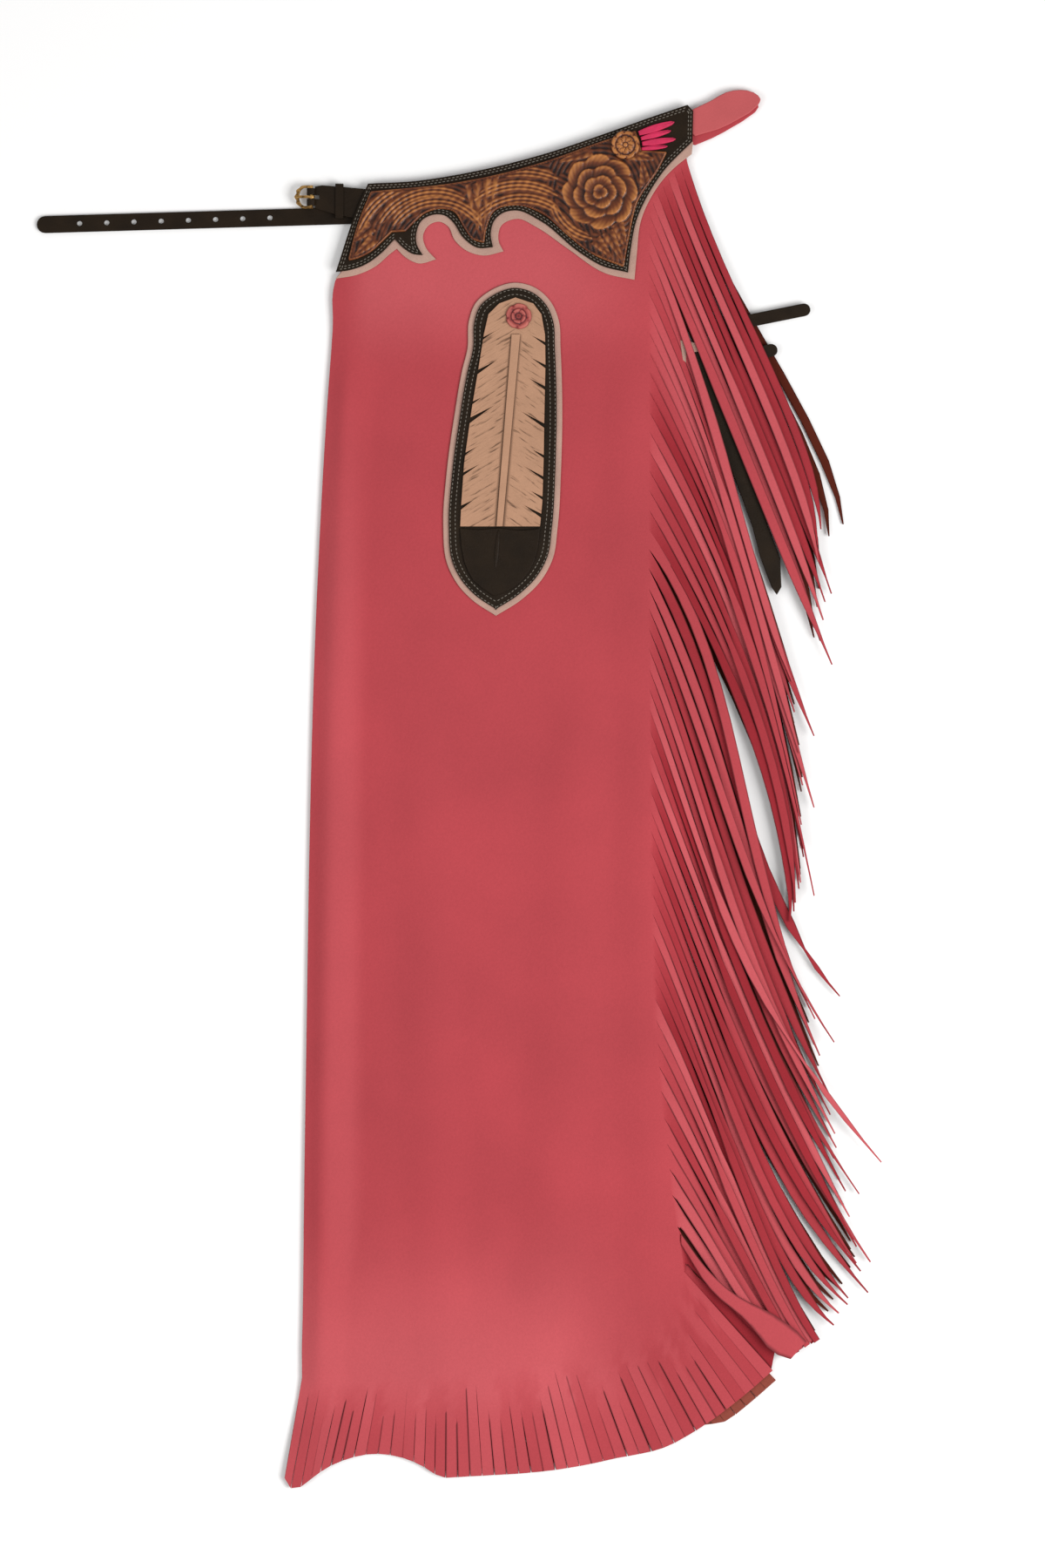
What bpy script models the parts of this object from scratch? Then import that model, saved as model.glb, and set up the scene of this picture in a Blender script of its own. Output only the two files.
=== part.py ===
"""Western riding chaps in pink leather, folded at the front and laid flat, one legging on the other.

The floor is Z = 0, +Y points to the waist and +X to the fringed outer edge. The origin is the middle of the
underside of the whole part. Every table and size below is in millimetres; add_part() turns them into metres.
"""
import math
import random

import bmesh
import bpy
from mathutils import Vector

METRES = 0.001
SEAM_GAP = 0.3                     # between pieces that touch in the real garment
EDGE_GAP = 0.5                     # between a panel's edge and the strip of its fringe
SEED = 4

# Leather thicknesses
LEG_LEATHER = 2.0
FRINGE_LEATHER = 1.5
UNDERLAY_LEATHER = 1.2
BORDER_LEATHER = 1.5
TOOLED_LEATHER = 1.8
PATCH_LEATHER = 1.3
STRAP_LEATHER = 1.6

# Heights of the layers' undersides: the lower legging lies on the floor
UPPER_LEG_LEVEL = LEG_LEATHER + SEAM_GAP
UNDERLAY_LEVEL = UPPER_LEG_LEVEL + LEG_LEATHER + SEAM_GAP
BORDER_LEVEL = UNDERLAY_LEVEL + UNDERLAY_LEATHER + SEAM_GAP
TOOLING_LEVEL = BORDER_LEVEL + BORDER_LEATHER + SEAM_GAP

CORNER = "corner"                  # marks a row where an outline turns sharply


# ----------------------------------------------------------------------------------------------------------
# Outlines of the upper legging. A table's rows run in order along the edge: x, y, and CORNER at a sharp turn.

INNER_EDGE = (                     # from the waist down past the hem, beside the wearer's inner thigh
    (-58.0, 445.0), (-70.0, 414.0), (-86.0, 390.0), (-92.3, 380.0), (-93.9, 348.0), (-98.2, 288.0),
    (-101.8, 229.0), (-107.9, 96.0), (-110.5, 5.0), (-113.8, -190.0), (-115.7, -320.0), (-116.4, -385.0),
    (-117.7, -438.0),
)
WING_EDGE = (                      # where the strands of the wing fringe are cut from, top to bottom
    (170.0, 470.0), (160.0, 462.0), (150.5, 452.5), (143.5, 440.0), (141.7, 420.0), (141.7, 330.0),
    (141.7, 70.0), (143.0, -27.0), (145.0, -125.0), (148.8, -206.0), (154.1, -255.0), (159.6, -307.0),
    (168.5, -352.0),
)
HEM_CUT = (                        # where the hem fringe is cut from, inner edge to outer edge
    (-117.0, -437.5), (-98.0, -440.6), (-57.0, -439.4), (-18.0, -435.5), (13.0, -431.5), (50.0, -427.0),
    (86.5, -421.5), (115.0, -416.0), (130.0, -410.5), (147.5, -399.0), (161.8, -377.0), (167.7, -358.0),
)
HEM_LINE = (                       # the ends of those strands, with the scoop over the instep
    (-130.0, -512.0), (-123.5, -521.5), (-113.0, -515.0), (-101.0, -506.0), (-84.0, -498.2), (-61.3, -494.0),
    (-43.6, -496.6), (-30.2, -501.5), (-13.7, -512.2, CORNER), (13.0, -510.6), (60.5, -507.5), (98.1, -501.7),
    (118.0, -497.2), (150.8, -490.4), (180.0, -474.8), (213.0, -450.3), (234.0, -432.0),
)
LEG_CORNER = (161.4, -354.6)       # the bottom outer corner of the plain leather
WAIST = ((-58.0, 445.0), (-6.0, 452.0), (24.0, 457.5), (66.5, 468.0), (105.0, 479.0), (135.0, 488.0))

STRIP_WIDTH = 6.0                  # the narrow backing that a fringe's roots are part of

FOLDS = (                          # soft folds that run down the legging
    # crest x at y_top, crest x at y_bottom, half_width, height, y_bottom, y_top
    (-72.0, -98.0, 26.0, 5.4, -470.0, 345.0),
    (138.0, 148.0, 34.0, 3.4, -400.0, 345.0),
    (92.0, 60.0, 34.0, 2.6, -470.0, 95.0),
    (-30.0, -12.0, 30.0, 2.0, -470.0, 95.0),
    (126.0, 112.0, 24.0, 1.6, 120.0, 345.0),
)
FADE = 60.0                        # a fold dies out over this length at each end
CURL_WIDTH, CURL_OUTSIDE = 15.0, 6.0           # the rolled edge's width inside and past the edge line
CURL_FLOOR = 0.4
CURL_FADE_FROM, CURL_FADE_TO = 330.0, 372.0


# ----------------------------------------------------------------------------------------------------------
# Curves

def smooth(rows, steps=3, closed=False):
    """Points along a smooth curve through the rows; its direction breaks at each CORNER row."""
    places = [Vector(row[:2]) for row in rows]
    sharp = [len(row) > 2 for row in rows]
    count = len(places)

    def leave(i, forward):
        before, here, after = places[i - 1], places[i], places[(i + 1) % count]
        at_end = not closed and i in (0, count - 1)
        if sharp[i] or at_end:
            step = after - here if forward else here - before
            return step.normalized()
        back, ahead = here - before, after - here
        turn = back.normalized() * ahead.length + ahead.normalized() * back.length
        return turn / (back.length + ahead.length)

    points = []
    for i in range(count if closed else count - 1):
        a, b = places[i], places[(i + 1) % count]
        span = (b - a).length
        start, end = leave(i, True) * span, leave((i + 1) % count, False) * span
        for k in range(steps):
            t = k / steps
            from_a = a * (1 + 2 * t) * (1 - t) ** 2 + start * t * (1 - t) ** 2
            from_b = b * t * t * (3 - 2 * t) + end * t * t * (t - 1)
            points.append(from_a + from_b)
    if not closed:
        points.append(places[-1])
    return points


def lengths(points):
    """How far along the line each point lies."""
    found = [0.0]
    for a, b in zip(points, points[1:]):
        found.append(found[-1] + (b - a).length)
    return found


def at_share(points, share):
    """The point at this share of the line's length."""
    marks = lengths(points)
    wanted = min(max(share, 0.0), 1.0) * marks[-1]
    for i in range(1, len(points)):
        if wanted <= marks[i] or i == len(points) - 1:
            span = marks[i] - marks[i - 1]
            return points[i - 1].lerp(points[i], (wanted - marks[i - 1]) / span)


def beside(points, distance):
    """The line moved sideways, to its left if distance is positive."""
    moved = []
    for i, here in enumerate(points):
        way = (points[min(i + 1, len(points) - 1)] - points[max(i - 1, 0)]).normalized()
        moved.append(here + Vector((-way.y, way.x)) * distance)
    return moved


def step_up(value, low, high):
    """0 below low, 1 above high, and smooth between."""
    t = min(max((value - low) / (high - low), 0.0), 1.0)
    return t * t * (3 - 2 * t)


def mix(a, b, share):
    return a + (b - a) * share


def across(rows, y):
    """The x of an edge at this height, for rows that run downwards."""
    for (x0, y0, *_), (x1, y1, *_) in zip(rows, rows[1:]):
        if y >= y1:
            return mix(x0, x1, (y0 - y) / (y0 - y1))
    return rows[-1][0]


# ----------------------------------------------------------------------------------------------------------
# How the leggings lie

def lower_height(x, y):
    """Height of the underside of the lower legging."""
    return 0.0


def upper_height(x, y):
    """Height of the underside of the upper legging, with its folds and its rolled inner edge."""
    rise = 0.0
    for x_top, x_bottom, half_width, height, y_bottom, y_top in FOLDS:
        crest = mix(x_bottom, x_top, (y - y_bottom) / (y_top - y_bottom))
        reach = step_up(y, y_bottom, y_bottom + FADE) * (1 - step_up(y, y_top - FADE, y_top))
        away = min(abs(x - crest) / half_width, 1.0)
        rise += height * reach * math.cos(math.pi / 2 * away) ** 2
    inside = x - across(INNER_EDGE, y)
    curl = 1 - step_up(inside, -CURL_OUTSIDE, CURL_WIDTH)
    curl *= 1 - step_up(y, CURL_FADE_FROM, CURL_FADE_TO)
    return mix(UPPER_LEG_LEVEL + rise, CURL_FLOOR, curl)


# ----------------------------------------------------------------------------------------------------------
# Scene and finishes

for old in list(bpy.data.objects):
    bpy.data.objects.remove(old)

garment = bpy.data.collections.new("leather_chaps")
cutters = bpy.data.collections.new("cutters")
bpy.context.scene.collection.children.link(garment)
bpy.context.scene.collection.children.link(cutters)


def finish(name, colour, roughness, metallic=0.0):
    made = bpy.data.materials.new(name)
    made.use_nodes = True
    shader = made.node_tree.nodes["Principled BSDF"]
    shader.inputs["Base Color"].default_value = (*colour, 1.0)
    shader.inputs["Roughness"].default_value = roughness
    shader.inputs["Metallic"].default_value = metallic
    return made


PINK = finish("pink_leather", (0.55, 0.075, 0.095), 0.7)
FLESH = finish("flesh_side", (0.30, 0.08, 0.05), 0.9)
BLACK = finish("black_leather", (0.018, 0.014, 0.010), 0.45)
TOOLED = finish("tooled_leather", (0.30, 0.11, 0.035), 0.4)
TAN = finish("tan_leather", (0.50, 0.31, 0.23), 0.75)
CREAM = finish("cream_leather", (0.55, 0.31, 0.18), 0.65)
ROSE = finish("rose_leather", (0.45, 0.09, 0.10), 0.6)
LACE = finish("lace", (0.50, 0.02, 0.09), 0.5)
BRASS = finish("brass", (0.60, 0.42, 0.16), 0.3, 1.0)


def add_part(name, bm, material, wall=None, origin=(0.0, 0.0, 0.0)):
    """Makes the named object from a bmesh in millimetres; wall is the thickness given to an open sheet."""
    if wall is None:
        bmesh.ops.recalc_face_normals(bm, faces=bm.faces)
    bmesh.ops.translate(bm, vec=-Vector(origin), verts=bm.verts)
    bmesh.ops.scale(bm, vec=(METRES, METRES, METRES), verts=bm.verts)
    mesh = bpy.data.meshes.new(name)
    bm.to_mesh(mesh)
    bm.free()
    mesh.materials.append(material)
    piece = bpy.data.objects.new(name, mesh)
    piece.location = Vector(origin) * METRES
    garment.objects.link(piece)
    if wall is not None:
        shell = piece.modifiers.new("wall", "SOLIDIFY")
        shell.thickness = wall * METRES
        shell.offset = 1.0
    return piece


def combine(piece, bm, operation):
    """Cuts the bmesh's shape out of a piece (DIFFERENCE) or joins it to the piece (UNION)."""
    shape = add_part(f"{piece.name}_{operation.lower()}", bm, BLACK)
    garment.objects.unlink(shape)
    cutters.objects.link(shape)
    shape.hide_render = True
    shape.display_type = "WIRE"
    change = piece.modifiers.new(operation.lower(), "BOOLEAN")
    change.operation = operation
    change.object = shape


def plate(outlines, level, thickness):
    """A bmesh plate from closed outlines, an inner one being a hole, with its underside at this level."""
    curve = bpy.data.curves.new("outline", "CURVE")
    curve.dimensions = "2D"
    curve.fill_mode = "BOTH"
    curve.extrude = thickness / 2
    for outline in outlines:
        spline = curve.splines.new("POLY")
        spline.points.add(len(outline) - 1)
        for point, place in zip(spline.points, outline):
            point.co = (place[0], place[1], 0.0, 1.0)
        spline.use_cyclic_u = True
    holder = bpy.data.objects.new("outline", curve)
    bpy.context.scene.collection.objects.link(holder)
    mesh = bpy.data.meshes.new_from_object(holder.evaluated_get(bpy.context.evaluated_depsgraph_get()))
    bpy.data.objects.remove(holder)
    bm = bmesh.new()
    bm.from_mesh(mesh)
    bmesh.ops.remove_doubles(bm, verts=bm.verts, dist=0.001)
    bmesh.ops.dissolve_limit(bm, angle_limit=0.001, verts=bm.verts, edges=bm.edges)
    bmesh.ops.translate(bm, vec=(0.0, 0.0, level + thickness / 2), verts=bm.verts)
    return bm


def loft(bm, rings):
    """Skins rings that have the same number of points, and closes both ends."""
    loops = [[bm.verts.new(point) for point in ring] for ring in rings]
    for near, far in zip(loops, loops[1:]):
        for i in range(len(near)):
            j = (i + 1) % len(near)
            bm.faces.new((near[i], near[j], far[j], far[i]))
    bm.faces.new(loops[0][::-1])
    bm.faces.new(loops[-1])


def block(low, high):
    """A bmesh box between two corners."""
    bm = bmesh.new()
    bmesh.ops.create_cube(bm, size=1.0)
    low, high = Vector(low), Vector(high)
    for v in bm.verts:
        v.co = (low + high) / 2 + v.co * (high - low)
    return bm


def turned_outline(centre, radius, sides, wave=0.0, lobes=0):
    """A round outline; wave is how far its lobes stand out."""
    points = []
    for k in range(sides):
        angle = 2 * math.pi * k / sides
        reach = radius + wave * math.cos(lobes * angle)
        points.append(Vector(centre) + Vector((math.cos(angle), math.sin(angle))) * reach)
    return points


# ----------------------------------------------------------------------------------------------------------
# Legging panels: a sheet between four edges, in sections from the waist to the hem

def shares(count, *first):
    """The listed shares, then even steps to 1."""
    start = first[-1]
    return list(first) + [mix(start, 1.0, (k + 1) / count) for k in range(count)]


def legging(name, edges, height, material):
    """edges are the points of the waist, hem, inner and outer lines; the sheet is blended from all four."""
    waist, hem, inner, outer = edges
    bm = bmesh.new()
    bmesh.ops.create_grid(bm, x_segments=len(waist) - 1, y_segments=len(inner) - 1, size=1.0)
    ordered = sorted(bm.verts, key=lambda v: (-round(v.co.y, 4), round(v.co.x, 4)))
    down, over = shares_along(inner), shares_along(waist)
    for row in range(len(inner)):
        for column in range(len(waist)):
            ruled = waist[column].lerp(hem[column], down[row]) + inner[row].lerp(outer[row], over[column])
            top, bottom = waist[0].lerp(waist[-1], over[column]), hem[0].lerp(hem[-1], over[column])
            place = ruled - top.lerp(bottom, down[row])
            ordered[row * len(waist) + column].co = (place.x, place.y, height(place.x, place.y))
    bm.normal_update()
    add_part(name, bm, material, LEG_LEATHER)


def shares_along(points):
    marks = lengths(points)
    return [mark / marks[-1] for mark in marks]


def legging_edges(waist, hem, inner, outer, columns, rows, corner):
    """The four lines of a legging as points at its columns and rows, with their ends made one."""
    outer[-1] = hem[-1] = corner
    inner[-1] = hem[0]
    across_lines = [[at_share(line, share) for share in columns] for line in (waist, hem)]
    down_lines = [[at_share(line, share) for share in rows] for line in (inner, outer)]
    across_lines[0][0], across_lines[0][-1] = down_lines[0][0], down_lines[1][0]
    return across_lines + down_lines


FRINGE_TURNS_AT, OUTER_WAIST = 421.0, 488.0


def under_the_yoke(line):
    """The outer edge of a legging: straight up from where its fringe turns away under the yoke."""
    below = [p for p in line if p.y < FRINGE_TURNS_AT]
    return [Vector((below[0].x, OUTER_WAIST))] + below


UPPER_COLUMNS = (                  # shares of the width, closer at the rolled edge
    0.0, 0.02, 0.045, 0.075, 0.11, 0.15, 0.2, 0.28, 0.38, 0.48, 0.58, 0.68, 0.77, 0.85, 0.92, 1.0,
)
UPPER_ROWS = shares(22, 0.0, 0.07)

wing_line = smooth(WING_EDGE)
hem_cut = smooth(HEM_CUT)
hem_line = smooth(HEM_LINE)
upper_edges = legging_edges(
    smooth(WAIST),
    beside(hem_cut, STRIP_WIDTH + EDGE_GAP),
    smooth(INNER_EDGE),
    under_the_yoke(beside(wing_line, -STRIP_WIDTH - EDGE_GAP)),
    UPPER_COLUMNS, UPPER_ROWS, Vector(LEG_CORNER),
)
legging("leg_upper", upper_edges, upper_height, PINK)


# The lower legging lies face down under the other, a little inside its edges, its yoke included
LOWER_INNER_INSET = 24.0
LOWER_WING_SHIFT = -8.0
LOWER_HEM_SHIFT = Vector((-8.0, -1.0))
LOWER_WAIST_SHIFT = Vector((6.0, -4.0))
LOWER_CORNER_SHIFT = Vector((-7.6, -2.4))
LOWER_HEM_FROM = 0.11              # share of the hem left out where the inner edge is inset
HIDDEN_GAP = 1.0
STATIONS = 36
LOWER_COLUMNS = shares(8, 0.0)
LOWER_ROWS = shares(14, 0.0, 0.03)

lower_wing = beside(wing_line, LOWER_WING_SHIFT)
lower_cut = [
    at_share(hem_cut, mix(LOWER_HEM_FROM, 1.0, k / STATIONS)) + LOWER_HEM_SHIFT for k in range(STATIONS + 1)
]
lower_edges = legging_edges(
    [p + LOWER_WAIST_SHIFT for p in smooth(WAIST)],
    beside(lower_cut, STRIP_WIDTH + HIDDEN_GAP),
    [Vector((x + LOWER_INNER_INSET, y + LOWER_WAIST_SHIFT.y)) for x, y in INNER_EDGE],
    under_the_yoke(beside(lower_wing, -STRIP_WIDTH - HIDDEN_GAP)),
    LOWER_COLUMNS, LOWER_ROWS, lower_wing[-1] + LOWER_CORNER_SHIFT,
)
legging("leg_lower", lower_edges, lower_height, FLESH)


# ----------------------------------------------------------------------------------------------------------
# Fringe: strands of four sides whose roots are fused into a narrow strip beside the panel's cut edge

BOTTOM_WALL, TOP_WALL, BACK_WALL = 0, 2, 3             # a section's walls, each from its corner to the next


def four_corners(first, second, level):
    top = level + FRINGE_LEATHER
    return [(*first, level), (*second, level), (*second, top), (*first, top)]


def bridge(bm, near, far, walls):
    """Triangles between two four-cornered sections; the top and bottom are split along the same diagonal."""
    for i in walls:
        j = (i + 1) % 4
        corners = [near[i], near[j], far[j], far[i]]
        if i == TOP_WALL:
            corners = corners[1:] + corners[:1]
        bm.faces.new(corners[:3])
        bm.faces.new((corners[0], corners[2], corners[3]))


def fringe(name, roots, backs, strands, height, material):
    """roots and backs are the outer and inner stations of the strip, one more than there are strands."""
    bm = bmesh.new()
    thickness = Vector((0.0, 0.0, FRINGE_LEATHER))
    stations = []
    for root, back in zip(roots, backs):
        low_back, low_root = Vector((*back, height(*back))), Vector((*root, height(*root)))
        places = (low_back, low_root, low_root + thickness, low_back + thickness)
        stations.append([bm.verts.new(place) for place in places])
    bm.faces.new(stations[0])
    bm.faces.new(stations[-1][::-1])
    for near, far, rings in zip(stations, stations[1:], strands):
        bridge(bm, near, far, (BOTTOM_WALL, TOP_WALL, BACK_WALL))
        loop = [near[1], far[1], far[2], near[2]]
        for ring in rings:
            ahead = [bm.verts.new(point) for point in ring]
            bridge(bm, loop, ahead, range(4))
            loop = ahead
        bm.faces.new(loop)
    add_part(name, bm, material)


# Wing fringe. Its strands fall in five locks; guide strands give the way they leave the edge, the point half
# way down and the tip, and a few tips stray from their lock.
LAY_ANGLE = math.radians(24.0)     # the strands leave the edge at this angle from straight down
WING_LOCKS = (                     # strands, rise over the straps under the lock, width of the tips
    (8, 1.6, 1.0),
    (15, 1.6, 1.0),
    (12, 0.0, 1.0),
    (9, 0.0, 1.2),
    (12, 0.0, 5.0),
)
WING_GUIDES = (                    # lock, share of it, degrees from straight down, half-way x, y, tip x, y
    (0, 0.00, 16.0, 226.5, 324.0, 266.0, 200.0),
    (0, 0.50, 20.0, 213.5, 294.0, 272.0, 150.0),
    (0, 1.00, 24.0, 201.5, 265.0, 270.0, 101.0),
    (1, 0.00, 24.0, 201.0, 240.0, 247.0, 78.0),
    (1, 0.30, 26.0, 205.5, 187.0, 255.0, 4.0),
    (1, 0.60, 29.0, 212.0, 130.0, 255.0, -58.0),
    (1, 1.00, 31.0, 216.5, 49.0, 248.0, -96.0),
    (2, 0.00, 36.0, 208.0, 15.0, 264.0, -166.0),
    (2, 0.22, 25.0, 203.5, -17.0, 271.0, -204.0),
    (2, 0.45, 22.0, 199.0, -55.0, 277.0, -238.0),
    (2, 0.75, 20.0, 199.0, -102.0, 285.0, -286.0),
    (2, 1.00, 21.0, 207.0, -141.0, 290.0, -318.0),
    (3, 0.00, 21.0, 204.5, -160.0, 297.0, -338.0),
    (3, 0.40, 22.0, 206.5, -206.0, 298.0, -362.0),
    (3, 0.75, 24.0, 208.5, -249.0, 288.0, -384.2),
    (3, 1.00, 24.0, 209.0, -277.0, 279.0, -400.0),
    (4, 0.00, 25.0, 206.0, -285.0, 267.0, -409.0),
    (4, 0.34, 29.0, 203.5, -310.0, 258.0, -413.0),
    (4, 0.60, 29.0, 200.5, -331.0, 250.0, -419.0),
    (4, 1.00, 40.0, 194.0, -372.0, 236.0, -416.0),
)
UPPER_STRAYS = (                   # strands whose tips stand out: number, level, tip x, tip y
    (0, 0, 269.8, 195.0), (3, 0, 277.6, 147.0), (7, 1, 278.0, 94.0), (10, 1, 264.6, 41.0),
    (13, 1, 264.6, -12.3), (17, 2, 264.6, -78.0), (24, 0, 284.0, -153.0), (26, 3, 279.5, -187.0),
    (31, 3, 314.6, -276.3), (33, 0, 298.4, -300.3), (36, 0, 306.8, -351.0), (39, 0, 305.0, -373.8),
)
LOWER_STRAYS = ((0, 0, 286.7, 198.9), (1, 1, 276.0, 190.0))
LOWER_SHIFTS = (                   # how the lower locks lie: half-way dx, half-way dy, tip dx, tip dy
    (3.0, 3.0, -4.0, 10.0),
    (-2.0, 3.0, 0.0, 6.0),
    (-4.0, 3.0, -4.0, 8.0),
    (-4.0, 3.0, -4.0, 10.0),
    (-6.0, 6.0, -3.0, 6.0),
)
STRAY_BEND = 0.06                  # how far a stray strand's half-way point follows its tip
ROOM_SHARE = 0.82                  # of the space between strands at the same level, the most that one fills
TIP_NARROWING = 0.82
FULL_WIDTH_FROM, FULL_WIDTH_BY = 0.22, 0.5     # shares of a strand between which it reaches its full width
SLIT_SHARE = 0.30                  # of the space between roots is lost to the slit
LEVEL_STEP = FRINGE_LEATHER + SEAM_GAP         # neighbouring strands lie at different levels
LOWER_LEVEL, LOWER_LEVELS = 0.4, 2
UPPER_LEVEL, UPPER_LEVELS = LOWER_LEVEL + LOWER_LEVELS * LEVEL_STEP + SEAM_GAP, 3
TIP_JITTER = (2.0, 4.0)            # how far the tips are out of line, sideways and lengthways
WING_COUNT = sum(lock[0] for lock in WING_LOCKS)
FINE_STEPS = 400
UPPER_LIE = dict(                  # level_by is the share of a strand over which it reaches its own level
    sections=(0.06, 0.2, 0.4, 0.65, 0.88, 1.0), width=6.2,
    level=UPPER_LEVEL, levels=UPPER_LEVELS, level_by=0.10, rising=1.0,
    shifts=((0.0, 0.0, 0.0, 0.0),) * len(WING_LOCKS), strays=UPPER_STRAYS, height=upper_height,
)
LOWER_LIE = dict(
    sections=(0.06, 0.3, 0.6, 1.0), width=3.6,
    level=LOWER_LEVEL, levels=LOWER_LEVELS, level_by=0.3, rising=0.0,
    shifts=LOWER_SHIFTS, strays=LOWER_STRAYS, height=lower_height,
)


def wing_stations(line, count):
    """Stations spaced so that all strands, cut at the lay angle, come out equally wide."""
    lay = Vector((math.sin(LAY_ANGLE), -math.cos(LAY_ANGLE)))
    fine = [at_share(line, k / FINE_STEPS) for k in range(FINE_STEPS + 1)]
    marks = [0.0]
    for a, b in zip(fine, fine[1:]):
        marks.append(marks[-1] + abs((b - a).cross(lay)))
    found = []
    for k in range(count + 1):
        wanted = marks[-1] * k / count
        i = next((i for i in range(1, len(marks)) if marks[i] >= wanted), len(marks) - 1)
        found.append(fine[i - 1].lerp(fine[i], (wanted - marks[i - 1]) / (marks[i] - marks[i - 1])))
    return found


def guided(lock, share, shift):
    """Leaving direction, half-way point and tip of a strand, between its lock's guides."""
    rows = [row for row in WING_GUIDES if row[0] == lock]
    near, far = next(pair for pair in zip(rows, rows[1:]) if share <= pair[1][1])
    part = (share - near[1]) / (far[1] - near[1])
    angle, x, y, tip_x, tip_y = (mix(a, b, part) for a, b in zip(near[2:], far[2:]))
    leaving = Vector((math.sin(math.radians(angle)), -math.cos(math.radians(angle))))
    return leaving, Vector((x + shift[0], y + shift[1])), Vector((tip_x + shift[2], tip_y + shift[3]))


def bent(root, first, second, tip, t):
    """Point and direction at share t of the cubic curve from root to tip."""
    near, middle, far = root.lerp(first, t), first.lerp(second, t), second.lerp(tip, t)
    near, far = near.lerp(middle, t), middle.lerp(far, t)
    return near.lerp(far, t), (far - near).normalized()


def wing_strands(roots, sections, width, level, levels, level_by, rising, shifts, strays, height):
    """Each strand curves from its root past its half-way point to its tip, clear of the strands beside it."""
    chance = random.Random(SEED)
    astray = {stray[0]: stray[1:] for stray in strays}
    paths, lies = [], []
    for lock, (count, rise, tip_width) in enumerate(WING_LOCKS):
        for k in range(count):
            index = len(paths)
            start, end = roots[index], roots[index + 1]
            root = start.lerp(end, 0.5)
            leaving, half_way, tip = guided(lock, k / (count - 1), shifts[lock])
            tip += Vector([chance.uniform(-reach, reach) for reach in TIP_JITTER]) / max(tip_width, 1.0)
            storey = index % levels
            if index in astray:
                storey, *place = astray[index]
                half_way += (Vector(place) - tip) * STRAY_BEND
                tip = Vector(place)
            first = root + leaving * (tip - root).length / 3
            second = (half_way * 8 - root - first * 3 - tip) / 3
            paths.append([bent(root, first, second, tip, t) for t in sections])
            root_width = min(width, abs((end - start).cross(leaving)) * (1 - SLIT_SHARE))
            lies.append((root_width, tip_width, height(*root), level + storey * LEVEL_STEP + rise * rising))
    strands = []
    for index, (root_width, tip_width, root_level, low) in enumerate(lies):
        rings = []
        for k, t in enumerate(sections):
            here, way = paths[index][k]
            others = [other for other in (index - levels, index + levels) if 0 <= other < len(paths)]
            beside_it = [paths[other][k] for other in others]
            room = min(abs((place - here).cross(along)) for place, along in beside_it)
            full = mix(root_width, width * TIP_NARROWING ** t, step_up(t, FULL_WIDTH_FROM, FULL_WIDTH_BY))
            across = min(full if t < 1.0 else tip_width, room * ROOM_SHARE)
            reach = Vector((-way.y, way.x)) * across / 2
            own_level = mix(root_level, low, step_up(t, 0.0, level_by))
            rings.append(four_corners(here + reach, here - reach, own_level))
        strands.append(rings)
    return strands


def wing_fringe(name, line, material, lie):
    roots = wing_stations(line, WING_COUNT)
    backs = wing_stations(beside(line, -STRIP_WIDTH), WING_COUNT)
    fringe(name, roots, backs, wing_strands(roots, **lie), lie["height"], material)


wing_fringe("wing_fringe_upper", wing_line, PINK, UPPER_LIE)
wing_fringe("wing_fringe_lower", lower_wing, FLESH, LOWER_LIE)


# Hem fringe: straight cuts from the hem's cut line to the hem line
UPPER_HEM_COUNT, LOWER_HEM_COUNT = 44, 36
HEM_SLIT = 0.5                     # cut away on each side of a slit
HEM_SECTIONS = (0.15, 1.0)
UPPER_TIP_LEVEL = LOWER_LEVEL + FRINGE_LEATHER + 2 * SEAM_GAP
PEEK_FROM, PEEK_TO = 0.80, 0.89    # past this share of the hem the lower fringe shows beyond the upper one
UNDER_SHIFT, PEEK_SHIFT = Vector((0.0, 5.0)), Vector((2.5, -7.5))


def hem_fringe(name, cut, ends, count, height, tip_level, material):
    roots = [at_share(cut, k / count) for k in range(count + 1)]
    inside = beside(cut, STRIP_WIDTH)
    backs = [at_share(inside, k / count) for k in range(count + 1)]
    tips = [at_share(ends, k / count) for k in range(count + 1)]
    strands = []
    for k in range(count):
        rings = []
        root_level = height(*roots[k].lerp(roots[k + 1], 0.5))
        for t in HEM_SECTIONS:
            first, second = roots[k].lerp(tips[k], t), roots[k + 1].lerp(tips[k + 1], t)
            slit = (second - first).normalized() * HEM_SLIT
            rings.append(four_corners(first + slit, second - slit, mix(root_level, tip_level, t)))
        strands.append(rings)
    fringe(name, roots, backs, strands, height, material)


lower_ends = [
    at_share(hem_line, share) + UNDER_SHIFT.lerp(PEEK_SHIFT, step_up(share, PEEK_FROM, PEEK_TO))
    for share in (mix(LOWER_HEM_FROM, 1.0, k / STATIONS) for k in range(STATIONS + 1))
]
hem_fringe("hem_fringe_upper", hem_cut, hem_line, UPPER_HEM_COUNT, upper_height, UPPER_TIP_LEVEL, PINK)
hem_fringe("hem_fringe_lower", lower_cut, lower_ends, LOWER_HEM_COUNT, lower_height, LOWER_LEVEL, FLESH)


# ----------------------------------------------------------------------------------------------------------
# Yoke: a tan underlay, a black border and a tooled brown panel, over the top of the upper legging

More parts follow.
